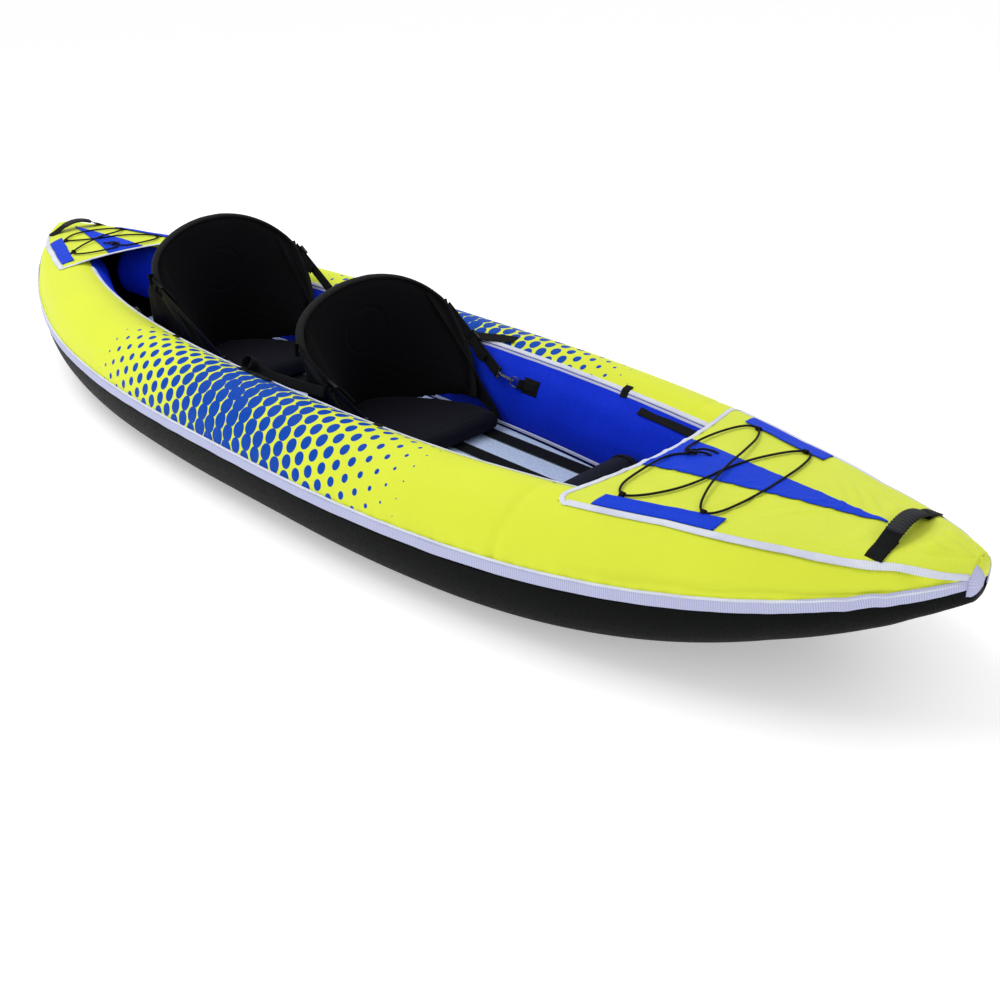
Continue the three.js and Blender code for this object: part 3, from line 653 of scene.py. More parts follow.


# The lower hull's cloth is a darker copy of the black: painted shade for the underside, set against the light
# the glowing floor throws up onto it.
UNDERSIDE_SHADED_BLACK = shade(BLACK, 0.75)
RUBBER_BLACK = (0.016, 0.018, 0.022)
PLASTIC_BLACK = (0.012, 0.012, 0.014)
MATERIALS = {
    "cover": printed_cover(),
    "deck": woven("deck_cloth", DECK_YELLOW, 0.0014, 0.05, 0.46, 0.0002, 260, 0.10, 0.0012, 0.08),
    "liner": woven("liner_cloth", LINER_BLUE, 0.0024, 0.16, 0.62, 0.0006, 230, 0.06),
    "panel": woven("panel_cloth", PANEL_BLUE, 0.0018, 0.10, 0.55, 0.0003, 260, 0.08, 0.0010),
    "lower": woven("lower_cloth", UNDERSIDE_SHADED_BLACK, 0.0022, 0.2, 0.52, 0.0004, 180, 0.04, 0.001),
    "floor": woven("floor_cloth", FLOOR_PALE, 0.0020, 0.06, 0.42, 0.0003, 120, 0.20, 0.0008),
    "tape": ribbed_tape("seam_tape_cloth", TAPE_WHITE, 0.0042, 0.00045),
    "piping": ribbed_tape("piping_cloth", PIPING_WHITE, 0.0026, 0.0003),
    "webbing": webbing_material("webbing_cloth", BLACK, 0.72),
    "cord": cord_material(),
    "rubber": moulded("grip_rubber_moulded", RUBBER_BLACK, 0.55, 900),
    "plastic": moulded("black_plastic", PLASTIC_BLACK, 0.40, 600),
    "metal": dark_metal(),
    "seat": padded_cloth("seat_cloth", SEAT_BLACK, 0.0016),
    "pad": padded_cloth("pad_cloth", PAD_BLACK, 0.0016),
    "roll": padded_cloth("roll_cloth", ROLL_BLACK, 0.0010),
    "binding": webbing_material("binding_cloth", shade(BLACK, 1.2), 0.6),
}


# Gives a piece its material, the body that it rides on and the CAD nodes that it takes the place of.
def dress(obj, look, body="hull", *nodes):
    obj.data.materials.clear()
    obj.data.materials.append(MATERIALS[look])
    if body:
        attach(obj, body)
    nodes = [node for node in nodes if node]
    if nodes:
        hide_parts(*nodes)
    return obj


# ---- hull skins ----
ARC_STEP = 3


def arc_lengths(x, degrees, side):
    points = [on_tube(x, a, side) for a in degrees]
    total = [0.0]
    for a, b in zip(points, points[1:]):
        total.append(total[-1] + (b - a).length)
    return total


def tube_skin(name, side, low, high, x0, x1, lift, shape=None, step=0.010):
    xs = np.linspace(x0, x1, int((x1 - x0) / step) + 2)
    degrees = np.linspace(low, high, int((high - low) / ARC_STEP) + 2)
    spread = arc_lengths(0.0, degrees, side)
    rows, uv_rows = [], []
    for x in xs:
        extra = [shape(x, a, side) if shape else 0.0 for a in degrees]
        rows.append([on_tube(x, a, side, lift + e) for a, e in zip(degrees, extra)])
        uv_rows.append([(x, spread[-1] - s) for s in spread])
    obj = sheet_mesh(name, rows, uv_rows)
    if side > 0:
        obj.data.flip_normals()
    return obj


# The side cover's relief: a sewn joint round the tube, puckers along the tape, and gathers at the tips.
COVER_SEAM_X = 0.855


def cover_relief(x, degrees, side):
    near = math.exp(-((x - COVER_SEAM_X - 0.02 * sin_deg(degrees)) / 0.0065) ** 2)
    joint = -0.0036 * near
    above = max(0, degrees - 12) / 9
    wander = waver(x * 12, side * 3, 0.5)
    pucker = 0.0011 * math.exp(-above) * math.sin(2 * math.pi * x / 0.041 + 4 * wander)
    ends = smooth(0.95, 1.15, abs(x)) * smooth(0, 0.12, 1.60 - abs(x))
    fold = -0.0062 * ends * math.exp(-((degrees - 19 - 3 * wander) / 3.4) ** 2)
    tip = smooth(1.46, 1.60, abs(x))
    gather = 0.0030 * tip * smooth(14, 26, degrees) * math.sin(math.radians(degrees * 7.5) + 9 * wander)
    return joint + pucker + fold + gather


for name, side in SIDES.items():
    cover = tube_skin(f"cover_side_{name}", side, 0.2, 119.8, -TIP_X, TIP_X, -0.0006, cover_relief)
    dress(thicken(cover, 0.0018), "cover", "hull", f"side_cover_{name}", f"side_chamber_{name}")
    lower = tube_skin(f"bilge_side_{name}", side, -90, -0.2, -TIP_X, TIP_X, -0.0006)
    dress(thicken(lower, 0.0018), "lower", "hull", f"bilge_panel_{name}")
    wall = tube_skin(f"liner_wall_{name}", side, 120.2, LINER_FOOT_ANGLE, -LINER_END_X, LINER_END_X, -0.0006,
                     lambda x, a, s: 0.0022 * waver(x * 8, a / 14, s * 2.0))
    dress(thicken(wall, 0.0018), "liner", "hull", f"inner_wall_{name}")


def bottom_sheet():
    rows, uv_rows = [], []
    for x in np.linspace(-TIP_X, TIP_X, 240):
        beam, bottom, top, ry, rz, yc, zc = hull(x)
        ys = np.linspace(-yc, yc, 25)
        rows.append([Vector((x, y, bottom)) for y in ys])
        uv_rows.append([(x, y) for y in ys])
    obj = sheet_mesh("bottom_sheet", rows, uv_rows)
    return thicken(obj, 0.0018, 1.0)


dress(bottom_sheet(), "lower", "hull", "bottom_panel")


# ---- tapes and pipings ----
# A tape along the tube: rounded section, uneven in height, with folds where the hull closes in.
def tube_tape(name, side, degrees, width, thick, span, lump, look, node):
    path, ups, scales = [], [], []
    for x in np.linspace(*span, int((span[1] - span[0]) / 0.006)):
        end = smooth(1.30, 1.58, abs(x))
        drift = waver(x * 17, side * 2.0, degrees * 0.1)
        fold = end * 0.0045 * waver(x * 55, side, 3.0)
        shift = drift * lump * 300 + end * 2.5 * waver(x * 30, side, 8.0)
        path.append(on_tube(x, degrees + shift, side, 0.0006 + thick / 2 + fold))
        ups.append(tube_normal(x, degrees, side))
        narrow = min(1.0, 0.55 + hull(x).rz / 0.14)
        scales.append((narrow * (1 + 9 * lump * drift), 1 + 0.25 * drift))
    tape = sweep(name, path, ups, flat_section(width, thick), scales)
    return dress(tape, look, "hull", node)


RIM_SPAN = (STERN_DECK_X + 0.004, BOW_DECK_X - 0.004)
TAPES = (
    ("tape_seam", 5.0, 0.0265, 0.0034, (-1.634, 1.634), 0.0020, "tape", "seam_tape"),
    ("tape_welt", 10.8, 0.0065, 0.0058, (-1.628, 1.628), 0.0012, "piping", None),
    ("piping_rim", RIM_ANGLE, 0.0125, 0.0044, RIM_SPAN, 0.0010, "piping", "rim_piping"),
    ("ribbon_rim", 124.5, 0.0070, 0.0016, RIM_SPAN, 0.0010, "tape", None),
)
for name, side in SIDES.items():
    for kind, degrees, width, thick, span, lump, look, node in TAPES:
        tube_tape(f"{kind}_{name}", side, degrees, width, thick, span, lump, look, node and f"{node}_{name}")


# ---- decks ----
def deck_cloth(name, x0, x1, look, node, lift=0.0016, half=None):
    rows, uv_rows = [], []
    for x in np.linspace(x0, x1, int(abs(x1 - x0) / 0.006) + 2):
        ys = np.linspace(-half(x), half(x), 21) if half else deck_columns(x, 45, 9)
        rows.append([deck_point(x, y, lift) for y in ys])
        uv_rows.append([(x, y) for y in ys])
    obj = sheet_mesh(name, rows, uv_rows)
    return dress(thicken(obj, 0.0012), look, "hull", node)


deck_cloth("deck_cloth_bow", BOW_DECK_X, TIP_X - 0.002, "deck", "bow_deck")
deck_cloth("deck_cloth_stern", -TIP_X + 0.002, STERN_DECK_X, "deck", "stern_deck")


def wedge(name, base_x, apex_x, half_base, node):
    def half(x):
        return half_base + (0.0025 - half_base) * (x - base_x) / (apex_x - base_x)

    x0, x1 = min(base_x, apex_x), max(base_x, apex_x)
    return deck_cloth(name, x0, x1, "panel", node, 0.0048, half)


wedge("wedge_bow", BOW_DECK_X + 0.006, 1.462, 0.083, "bow_centre_panel")
wedge("wedge_stern", STERN_DECK_X - 0.006, -1.545, 0.060, "stern_centre_panel")


def flap(name, side, x0, x1, node):
    rows, uv_rows = [], []
    for x in np.linspace(x0, x1, 46):
        outer, inner = deck_edge(x) - 0.009, deck_edge(x) - 0.049
        row = []
        for t in np.linspace(0, 1, 12):
            curl = 0.0026 * t ** 3 * (1 + 0.5 * waver(x * 30, side, 5.0))
            y = outer + (inner - outer) * t
            row.append(deck_point(x, side * y, 0.0052 + curl))
        rows.append(row)
        uv_rows.append([(x, 0.040 * t) for t in np.linspace(0, 1, 12)])
    obj = sheet_mesh(name, rows, uv_rows)
    if side < 0:
        obj.data.flip_normals()
    return dress(thicken(obj, 0.0018), "panel", "hull", node)


for name, side in SIDES.items():
    flap(f"flap_bow_{name}", side, 1.003, 1.235, f"bow_flap_{name}")
    flap(f"flap_stern_{name}", side, -1.455, -1.215, f"stern_flap_{name}")


# Tape round a deck: up one side from the tip, round the corner, across and back.
def deck_tape(name, edge_x, sign, node):
    start = edge_x + sign * CORNER
    centre_y = deck_edge(edge_x) - CORNER
    side_run = []
    for x in np.linspace(sign * 1.634, start, 140):
        degrees = deck_edge_angle(x)
        lift = 0.0034 + tip_lift(x)
        wide = 1.30 - 0.30 * smooth(1.50, 1.63, abs(x)) + 0.12 * waver(x * 25, 3.0, 2.0)
        side_run.append((on_tube(x, degrees, -1, lift), tube_normal(x, degrees, -1), wide))
    flat = []
    for i in range(1, 9):
        a = math.radians(90 * i / 9)
        flat.append((start - sign * CORNER * math.sin(a), -(centre_y + CORNER * math.cos(a))))
    flat += [(edge_x, y) for y in np.linspace(-centre_y, 0, 45)]
    for x, y in flat:
        slope = (deck_point(x, y + 0.004, 0) - deck_point(x, y - 0.004, 0)).normalized()
        wide = 0.90 + 0.10 * waver(x * 25, y * 25, 2.0)
        side_run.append((deck_point(x, y, 0.0034), Vector((0, -slope.z, slope.y)), wide))
    mirror = Vector((1, -1, 1))
    other = [(p * mirror, up * mirror, wide) for p, up, wide in reversed(side_run[:-1])]
    path, ups, wides = zip(*(side_run + other))
    scales = [(wide, 1) for wide in wides]
    return dress(sweep(name, path, ups, flat_section(0.0125, 0.0028), scales), "piping", "hull", node)


deck_tape("piping_deck_bow", BOW_DECK_X, 1, "bow_deck_piping")
deck_tape("piping_deck_stern", STERN_DECK_X, -1, "stern_deck_piping")


# Each tip is closed by the deck's end, a folded tape and the end of the lower hull.
STEM_ZONES = (("deck", 46, 134, 0.0), ("tape", -26, 48, 0.0012), ("tape", 132, 206, 0.0012),
              ("lower", 204, 336, 0.0))
STEM_PROFILE = ((1.6340, 0.97), (1.6370, 1.02), (1.6400, 1.00), (1.6430, 0.92), (1.6460, 0.78),
                (1.6484, 0.56), (1.6497, 0.22))


def stem_zone(name, sign, low, high, lift):
    count = int((high - low) / 4) + 2
    rows, uv_rows = [], []
    for x, size in STEM_PROFILE:
        beam, bottom, top, ry, rz, yc, zc = hull(min(x, 1.637))
        row = []
        for i in range(count):
            a = math.radians(low + (high - low) * i / (count - 1))
            c, s = math.cos(a), math.sin(a)
            y = (ry * 2 + 0.0030 + lift) * math.copysign(abs(c) ** 0.8, c)
            z = (rz + 0.0030 + lift) * math.copysign(abs(s) ** 0.8, s)
            crease = 0.0020 * waver(x * 70, c * 3, s * 3 + sign)
            height = zc + 0.002 + (z + crease) * size
            row.append(Vector((sign * (x + lift / 4), y * size + crease * c, height)))
        rows.append(row)
        uv_rows.append([(0.003 * j, x) for j in range(count)])
    return face_out(thicken(sheet_mesh(name, rows, uv_rows), 0.0012, 0.0))


def stem(end, sign):
    for k, (look, low, high, lift) in enumerate(STEM_ZONES):
        piece = stem_zone(f"stem_{look}_{end}_{k}", sign, low, high, lift)
        dress(piece, look, "hull", f"{end}_stem_tape" if look == "tape" else None)


stem("bow", 1)
stem("stern", -1)


# ---- bungee cords ----
CORD_RADIUS = 0.0025
CORD_LIFT = 0.0078
KNOT_CORD_RADIUS = 0.0024
# Along the deck from its edge, across it as a share of the flat width, and height, in millimetres.
BUNGEE_ROUTE = [
    [82, 0.04, 0], [60, -0.06, 0], [55, -0.2, 0], [56, -0.47, 0], [66, -0.74, 0], [92, -0.89, 0],
    [124, -0.83, 0], [156, -0.62, 0], [172, -0.36, 0], [181, 0, 0], [198, 0.36, 0], [226, 0.74, 0],
    [250, 0.95, 0], [270, 0.86, 0], [283, 0.6, 0], [289, 0.25, 0], [290, -0.2, 0], [284, -0.58, 0],
    [271, -0.86, 0], [250, -0.95, 0], [228, -0.76, 1.5], [201, -0.4, 4.5], [181, 0, 6.5], [162, 0.4, 4.5],
    [140, 0.72, 1.5], [112, 0.9, 0], [84, 0.86, 0], [66, 0.66, 0], [58, 0.36, 0], [62, 0.10, 0],
    [82, 0.05, 0],
]
ANCHORS = ((92, -0.89), (250, -0.95), (250, 0.95), (112, 0.90))
# The webbing loop round the cord at an anchor: distance outward and height over the deck.
CORD_LOOP = ((0.018, 0.0026), (0.006, 0.0030), (0.000, 0.0038), (-0.0046, 0.0055), (-0.0056, 0.0085),
             (-0.0030, 0.0117), (0.0030, 0.0110), (0.008, 0.0055), (0.018, 0.0040))


def bungee(end, edge_x, sign, stretch):
    def spot(along, across, lift):
        x = edge_x + sign * along / 1000 * stretch
        y = sign * across * hull(x).yc
        most = deck_edge(x) - 0.053
        return deck_surface(x, max(-most, min(most, y)), lift)

    route = [spot(a, b, CORD_LIFT + c / 1000) for a, b, c in BUNGEE_ROUTE]
    line = cord_mesh(f"bungee_line_{end}", route, CORD_RADIUS, 420)
    dress(line, "cord", "hull", f"{end}_bungee")
    # the knot: a trefoil wound round both strands, with two short tails
    turns = []
    middle = spot(83, 0.05, CORD_LIFT + 0.0035)
    for i in range(40):
        a = 2 * math.pi * i / 39
        turn_x = 0.0052 * (math.sin(a) + 1.3 * math.sin(2 * a))
        turn_y = 0.0044 * (math.cos(a) - 1.3 * math.cos(2 * a))
        turns.append(middle + Vector((turn_x, turn_y, -0.0034 * math.sin(3 * a))))
    knot = cord_mesh(f"bungee_knot_{end}", turns, KNOT_CORD_RADIUS, 160)
    dress(knot, "cord")
    for k, across in enumerate((0.04, 0.12)):
        tail = [
            spot(86, across, CORD_LIFT + 0.002),
            spot(99, across + 0.03, CORD_LIFT + 0.004),
            spot(112 + 4 * k, across + 0.07, CORD_LIFT + 0.001),
            spot(122 + 5 * k, across + 0.08, CORD_LIFT - 0.002),
        ]
        dress(cord_mesh(f"bungee_tail_{end}_{k}", tail, KNOT_CORD_RADIUS, 24), "cord")
    for k, (along, across) in enumerate(ANCHORS):
        held = spot(along, across, 0)
        out = 1 if held.y > 0 else -1
        loop = [deck_surface(held.x, held.y + out * reach, lift) for reach, lift in CORD_LOOP]
        path = curve_points(loop, 40)
        ups = [AHEAD.cross(run).normalized() for run in directions(path)]
        dress(sweep(f"cord_loop_{end}_{k}", path, ups, flat_section(0.010, 0.0013)), "webbing")


bungee("bow", BOW_DECK_X, 1, 1)
bungee("stern", STERN_DECK_X, -1, 0.95)


# ---- carry handles ----
GRIP_SHARE = 0.58
HANDLE_RISE = 0.026
STRAP_WIDTH = 0.034
GRIP_RIDGES = 12
HANDLE_FOOT = ((-0.9, 0.0046), (-0.3, 0.0034), (0.1, 0.0022), (0.5, 0.0012), (1.0, 0.0006))


def handle_point(x, foot, y):
    arch = max(0.0, 1 - min(1, (y / foot) ** 2)) ** 1.2
    return Vector((x, y, hull(x).top + 0.0070 + HANDLE_RISE * arch))


def handle_strap(end, x, foot, side_name, side):
    path = []
    for t in np.linspace(0, 1, 32):
        y = side * (foot * sin_deg(90 * t))
        p = handle_point(x, foot, y)
        p.z = max(p.z, deck_surface(x, y, 0.0066).z)
        path.append(p)
    section = flat_section(STRAP_WIDTH, 0.0022)
    strap = sweep(f"handle_webbing_{end}_{side_name}", path, [UP] * len(path), section)
    dress(strap, "webbing", None, f"{end}_handle_strap")
    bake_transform(strap)


def handle_grip(end, x, foot):
    half = foot * GRIP_SHARE
    rows = []
    for i in range(145):
        y = -half + 2 * half * i / 144
        phase = (y / half + 1) / 2 * GRIP_RIDGES
        ridge = 0.5 + 0.5 * math.cos(2 * math.pi * (phase - 0.5))
        end_round = min(1, (half - abs(y)) / 0.004 + 0.25)
        wide = (0.0150 + 0.0030 * ridge ** 0.7) * end_round ** 0.3
        tall = (0.0046 + 0.0015 * ridge ** 0.7) * end_round ** 0.5
        p = handle_point(x, foot, y)
        slope = handle_point(x, foot, y + 0.001) - handle_point(x, foot, y - 0.001)
        up = AHEAD.cross(slope.normalized())
        ring = []
        for k in range(28):
            t = 2 * math.pi * k / 28
            ring.append(p + Vector((wide * math.cos(t), 0, 0)) + up * (tall * math.sin(t)))
        rows.append(ring)
    grip = face_out(sheet_mesh(f"grip_ribbed_{end}", rows, closed=True, caps=True))
    dress(grip, "rubber", f"{end}_handle", f"{end}_handle_grip")


def handle_foot(end, x, foot, side_name, side):
    last = deck_edge(x) - foot - 0.011
    feet = [deck_surface(x, side * (foot + last * share), 0.0034 + h) for share, h in HANDLE_FOOT]
    path = curve_points(feet, 26)
    ups = []
    for run in directions(path):
        up = AHEAD.cross(run).normalized()
        ups.append(up if up.z > 0 else -up)
    dress(sweep(f"handle_foot_{end}_{side_name}", path, ups, flat_section(STRAP_WIDTH, 0.0024)), "webbing")


def handle(end, x, foot):
    for side_name, side in SIDES.items():
        handle_strap(end, x, foot, side_name, side)
    handle_grip(end, x, foot)
    for side_name, side in SIDES.items():
        handle_foot(end, x, foot, side_name, side)


for end, (x, foot) in HANDLES.items():
    handle(end, x, foot)


# ---- inflated floor ----
def floor_cloth():
    rows, uv_rows = [], []
    for x in np.linspace(-FLOOR_END_X, FLOOR_END_X, 300):
        w = hull(x).beam - FLOOR_SIDE_GAP
        low = hull(x).bottom + 0.004
        z = floor_top(x) - 0.0012
        ys = np.linspace(-w, w, 61)
        row = [Vector((x, -w, low))]
        for y in ys:
            rounded = 0.010 * smooth(w - 0.012, w, abs(y))
            channel = 0.0022 * math.exp(-(((abs(y) + 0.056) % 0.056 - 0.028) / 0.006) ** 2)
            row.append(Vector((x, y, z - rounded - channel)))
        row.append(Vector((x, w, low)))
        rows.append(row)
        uv_rows.append([(x, -w - 0.05)] + [(x, y) for y in ys] + [(x, w + 0.05)] + [(x, w + 0.1)])
    return face_out(sheet_mesh("floor_cushion", rows, uv_rows, closed=True, caps=True))


dress(floor_cloth(), "floor", "hull", "floor_chamber")


def floor_band(name, y, width, x0, x1, node=None):
    path = [Vector((x, y, floor_top(x) + 0.0016)) for x in np.linspace(x0, x1, 120)]
    band = sweep(name, path, [UP] * 120, flat_section(width, 0.0020, 10))
    return dress(band, "webbing", "hull", node)


for name, side in SIDES.items():
    floor_band(f"floor_grip_{name}", side * 0.168, 0.044, -0.700, 0.720, f"floor_strip_{name}")
    floor_band(f"floor_grip_inner_{name}", side * 0.058, 0.040, -0.700, 0.720)
    foot = [on_tube(x, 203, side, 0.004) for x in np.linspace(-1.15, 1.15, 260)]
    ups = [tube_normal(x, 200, side) for x in np.linspace(-1.15, 1.15, 260)]
    dress(sweep(f"liner_welt_{name}", foot, ups, flat_section(0.012, 0.003)), "piping")


# ---- seats ----
SEATS = {
    "front": dict(
        back=-0.042, top_x=0.002, pad_front=0.300, top=0.477, base_half=0.202, wide=0.240,
        wide_z=0.325, strap_z=0.360, lock_share=0.50, wing=0.020,
    ),
    "rear": dict(
        back=-0.702, top_x=-0.658, pad_front=-0.392, top=0.522, base_half=0.182, wide=0.236,
        wide_z=0.350, strap_z=0.395, lock_share=0.90, wing=0.080,
    ),
}
SEAT_BASE_Z = 0.100
BACK_THICKNESS = 0.022
PAD_HALF = 0.204
FOOT_RISE = 0.046


def back_face(seat, y, z):
    t = min(1, (z - SEAT_BASE_Z) / (seat["top"] - SEAT_BASE_Z))
    bend = 0.3 + 6.0 * (1 - t) ** 1.6
    return seat["back"] + (seat["top_x"] - seat["back"]) * t + bend * y * y


def back_half(seat, z, inset=0.0):
    base, wide, top = seat["base_half"] - inset, seat["wide"] - inset, seat["top"] - inset
    if z < seat["wide_z"]:
        t = max(0, (z - SEAT_BASE_Z) / (seat["wide_z"] - SEAT_BASE_Z))
        return base + (wide - base) * sin_deg(90 * t)
    t = (z - seat["wide_z"]) / (top - seat["wide_z"])
    return wide * math.sqrt(max(0, 1 - t * t))


def back_spot(seat, across, rise, inset=0.0):
    """A point on the backrest's front face; across runs from -1 to 1 and rise from 0 to 1."""
    t = sin_deg(90 * rise)
    level = SEAT_BASE_Z + inset + (seat["top"] - 2 * inset - SEAT_BASE_Z) * t
    y = across * max(0.001, back_half(seat, level, inset))
    lift = FOOT_RISE * (y / seat["base_half"]) ** 2 * (1 - t)
    return Vector((back_face(seat, y, level), y, level + lift))


def inflate(obj, voxel, cap, pinned):
    """Remesh, blow up gently as cloth, and keep every point within cap of where it started."""
    remesh = obj.modifiers.new("remesh", "REMESH")
    remesh.mode = "VOXEL"
    remesh.voxel_size = voxel
    apply_modifiers(obj)
    start = [v.co.copy() for v in obj.data.vertices]
    group = obj.vertex_groups.new(name="held")
    for v in obj.data.vertices:
        weight = pinned(v.co)
        if weight > 0:
            group.add([v.index], weight, "REPLACE")
    cloth = obj.modifiers.new("cloth", "CLOTH")
    cloth.settings.effector_weights.gravity = 0
    cloth.settings.use_pressure = True
    cloth.settings.uniform_pressure_force = 4
    cloth.settings.vertex_group_mass = "held"
    cloth.settings.quality = 5
    cloth.settings.mass = 0.3
    cloth.settings.tension_stiffness = 12
    cloth.settings.compression_stiffness = 12
    cloth.settings.bending_stiffness = 0.6
    cloth.collision_settings.use_collision = False
    cloth.point_cache.frame_start = 1
    cloth.point_cache.frame_end = 20
    for frame_number in range(1, 21):
        bpy.context.scene.frame_set(frame_number)
    apply_modifiers(obj)
    bpy.context.scene.frame_set(1)
    for v, home in zip(obj.data.vertices, start):
        moved = v.co - home
        if moved.length > cap:
            v.co = home + moved * (cap / moved.length)
    obj.vertex_groups.clear()
    relax = obj.modifiers.new("relax", "SMOOTH")
    relax.factor = 0.5
    relax.iterations = 3
    finer = obj.modifiers.new("finer", "SUBSURF")
    finer.levels = finer.render_levels = 1
    apply_modifiers(obj)
    return obj


def backrest(name, seat):
    rows, across = 34, 33
    front, back = [], []
    inset = 0.005
    for i in range(rows):
        rise = i / (rows - 1)
        line = [back_spot(seat, sin_deg(90 * t), rise, inset) for t in np.linspace(-1, 1, across)]
        front.append([p + Vector((-0.003, 0, 0)) for p in line])
        back.append([p + Vector((-BACK_THICKNESS + 0.003, 0, 0)) for p in line])
    rings = [f + list(reversed(b)) for f, b in zip(front, back)]
    obj = face_out(sheet_mesh(f"{name}_back_cushion", rings, closed=True, caps=True))

    def rim(co):
        level = min(seat["top"], co.z)
        room = back_half(seat, max(SEAT_BASE_Z, level)) - abs(co.y)
        top = seat["top"] - co.z
        return 1.0 if min(room, top) < 0.014 else 0.0

    inflate(obj, 0.006, 0.0055, rim)
    # a stitched ring, and soft gathers low down, pressed into the front
    ring_z = SEAT_BASE_Z + 0.62 * (seat["top"] - SEAT_BASE_Z)
    for v in obj.data.vertices:
        mid = back_face(seat, v.co.y, v.co.z) - BACK_THICKNESS / 2
        if v.co.x < mid:
            continue
        away = math.hypot(v.co.y - 0.015, v.co.z - ring_z)
        v.co.x -= 0.0022 * math.exp(-((away - 0.062) / 0.004) ** 2)
        low = waver(v.co.y * 9, v.co.z * 14, seat["top"])
        wave = math.sin((v.co.y * 0.7 + v.co.z * 1.2) * 150 + 5 * low)
        v.co.x += 0.0016 * max(0, low) * wave * smooth(0.34, 0.20, v.co.z) if v.co.z < 0.34 else 0.0
    dress(obj, "seat", f"{name}_backrest", f"{name}_backrest")
    # the bound edge follows the outline at mid thickness
    half = [back_spot(seat, -1, i / 25, 0.0045) for i in range(25)]
    outline = half + [Vector((p.x, -p.y, p.z)) for p in reversed(half)]
    outline = [p + Vector((-BACK_THICKNESS / 2, 0, 0)) for p in outline]
    path = curve_points(outline, 200)
    leaning = [Vector((1, 0, 0.05))] * 200
    edge = sweep(f"{name}_back_binding", path, leaning, round_section(0.0062, 16, 2.15))
    dress(edge, "binding", f"{name}_backrest")


def pad(name, seat):
    half = min(PAD_HALF, seat["base_half"] + 0.008) - 0.003
    rings = []
    for y in np.linspace(-half, half, 31):
        side = smooth(half - 0.020, half, abs(y))
        back = back_face(seat, y, SEAT_BASE_Z) + 0.014
        front = seat["pad_front"] - 0.003 - 0.010 * smooth(half - 0.022, half, abs(y))
        top = 0.1415 - 0.008 * side
        low = 0.0925
        corners = ((back, low), (front - 0.010, low), (front, low + 0.012), (front - 0.002, top - 0.014),
                   (front - 0.014, top - 0.002), (back, top))
        rings.append([Vector((x, y, z)) for x, z in corners])
    obj = face_out(sheet_mesh(f"{name}_pad_cushion", rings, closed=True, caps=True))
    inflate(obj, 0.006, 0.004, lambda co: 1.0 if co.z < 0.096 else 0.0)
    for v in obj.data.vertices:
        if v.co.z > 0.12:
            groove = math.exp(-((half - 0.012 - abs(v.co.y)) / 0.004) ** 2)
            groove += math.exp(-((seat["pad_front"] - 0.030 - v.co.x) / 0.004) ** 2)
            v.co.z -= 0.0016 * min(1, groove)
        v.co.z = max(0.0905, min(0.1465, v.co.z))
    dress(obj, "pad", "hull", f"{name}_seat_pad")


def gusset(name, seat, side_name, side):
    """The cloth that closes the corner between the backrest's side and the pad."""
    half = min(PAD_HALF, seat["base_half"] + 0.008) - 0.006
    corner = back_face(seat, half, SEAT_BASE_Z) + 0.006
    wall = hull(corner).yc - TUBE_HALF_WIDTH - 0.004
    rows = []
    for t in np.linspace(0, 1, 22):
        up = back_spot(seat, side, 0.62 * t ** 0.8, 0.006) + Vector((-0.010, 0, 0))
        low = Vector((corner - 0.060 + 0.150 * t, side * (wall + (half - wall) * t), 0.150 - 0.036 * t))
        row = []
        for u in np.linspace(0, 1, 12):
            p = low.lerp(up, u)
            p.y += side * 0.006 * math.sin(math.pi * u) * t + 0.002 * waver(p.x * 30, side, p.z * 30)
            row.append(p)
        rows.append(row)
    obj = face_out(thicken(sheet_mesh(f"{name}_gusset_{side_name}", rows), 0.003, 0.0))
    dress(obj, "seat", None)
    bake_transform(obj)


def bolster(name, seat, side_name, side):
    """The seat's side cloth, from the backrest's edge aft and out to the hull's inner wall."""
    widest = back_face(seat, seat["wide"], seat["wide_z"]) - seat["wing"]
    beam, bottom, top, ry, rz, yc, zc = hull(widest)
    rows = []
    for i in range(26):
        share = i / 25
        inner = back_spot(seat, side, 0.50 * share, 0.006) + Vector((-0.012, 0, 0))
        z = 0.125 + (inner.z - 0.125) * smooth(-0.2, 1.0, share)
        reach = math.sqrt(max(0, 1 - ((z - zc) / rz) ** 2))
        outer = Vector((widest, side * min(seat["wide"] - 0.004, yc - ry * reach - 0.006), z))
        outer = outer.lerp(inner, smooth(0.78, 1.0, share))
        row = []
        for u in np.linspace(0, 1, 12):
            p = inner.lerp(outer, u)
            billow = math.sin(math.pi * u)
            p.x -= 0.008 * billow
            p.y += side * 0.004 * billow * waver(p.x * 25, u * 2, p.z * 25)
            row.append(p)
        rows.append(row)
    obj = face_out(thicken(sheet_mesh(f"{name}_bolster_{side_name}", rows), 0.003, 0.0))
    dress(obj, "seat", None)
    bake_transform(obj)


for name, seat in SEATS.items():
    backrest(name, seat)
    pad(name, seat)
    for side_name, side in SIDES.items():
        gusset(name, seat, side_name, side)
        bolster(name, seat, side_name, side)


# ---- seat straps, hooks and rings ----
RING_X = {"front": 0.322, "rear": -0.270}
RING_ANGLE = 153
RING_OFFSET = 0.013
HOOK_REACH = 0.056
STRAP_THICK = 0.0018


def ring_frame(name, side):
    x = RING_X[name]
    normal = tube_normal(x, RING_ANGLE, side)
    along = (Vector((-1, 0, 0.18)) + normal * 0.1).normalized()
    face = (normal - along * normal.dot(along)).normalized()
    return on_tube(x, RING_ANGLE, side), normal, along, face


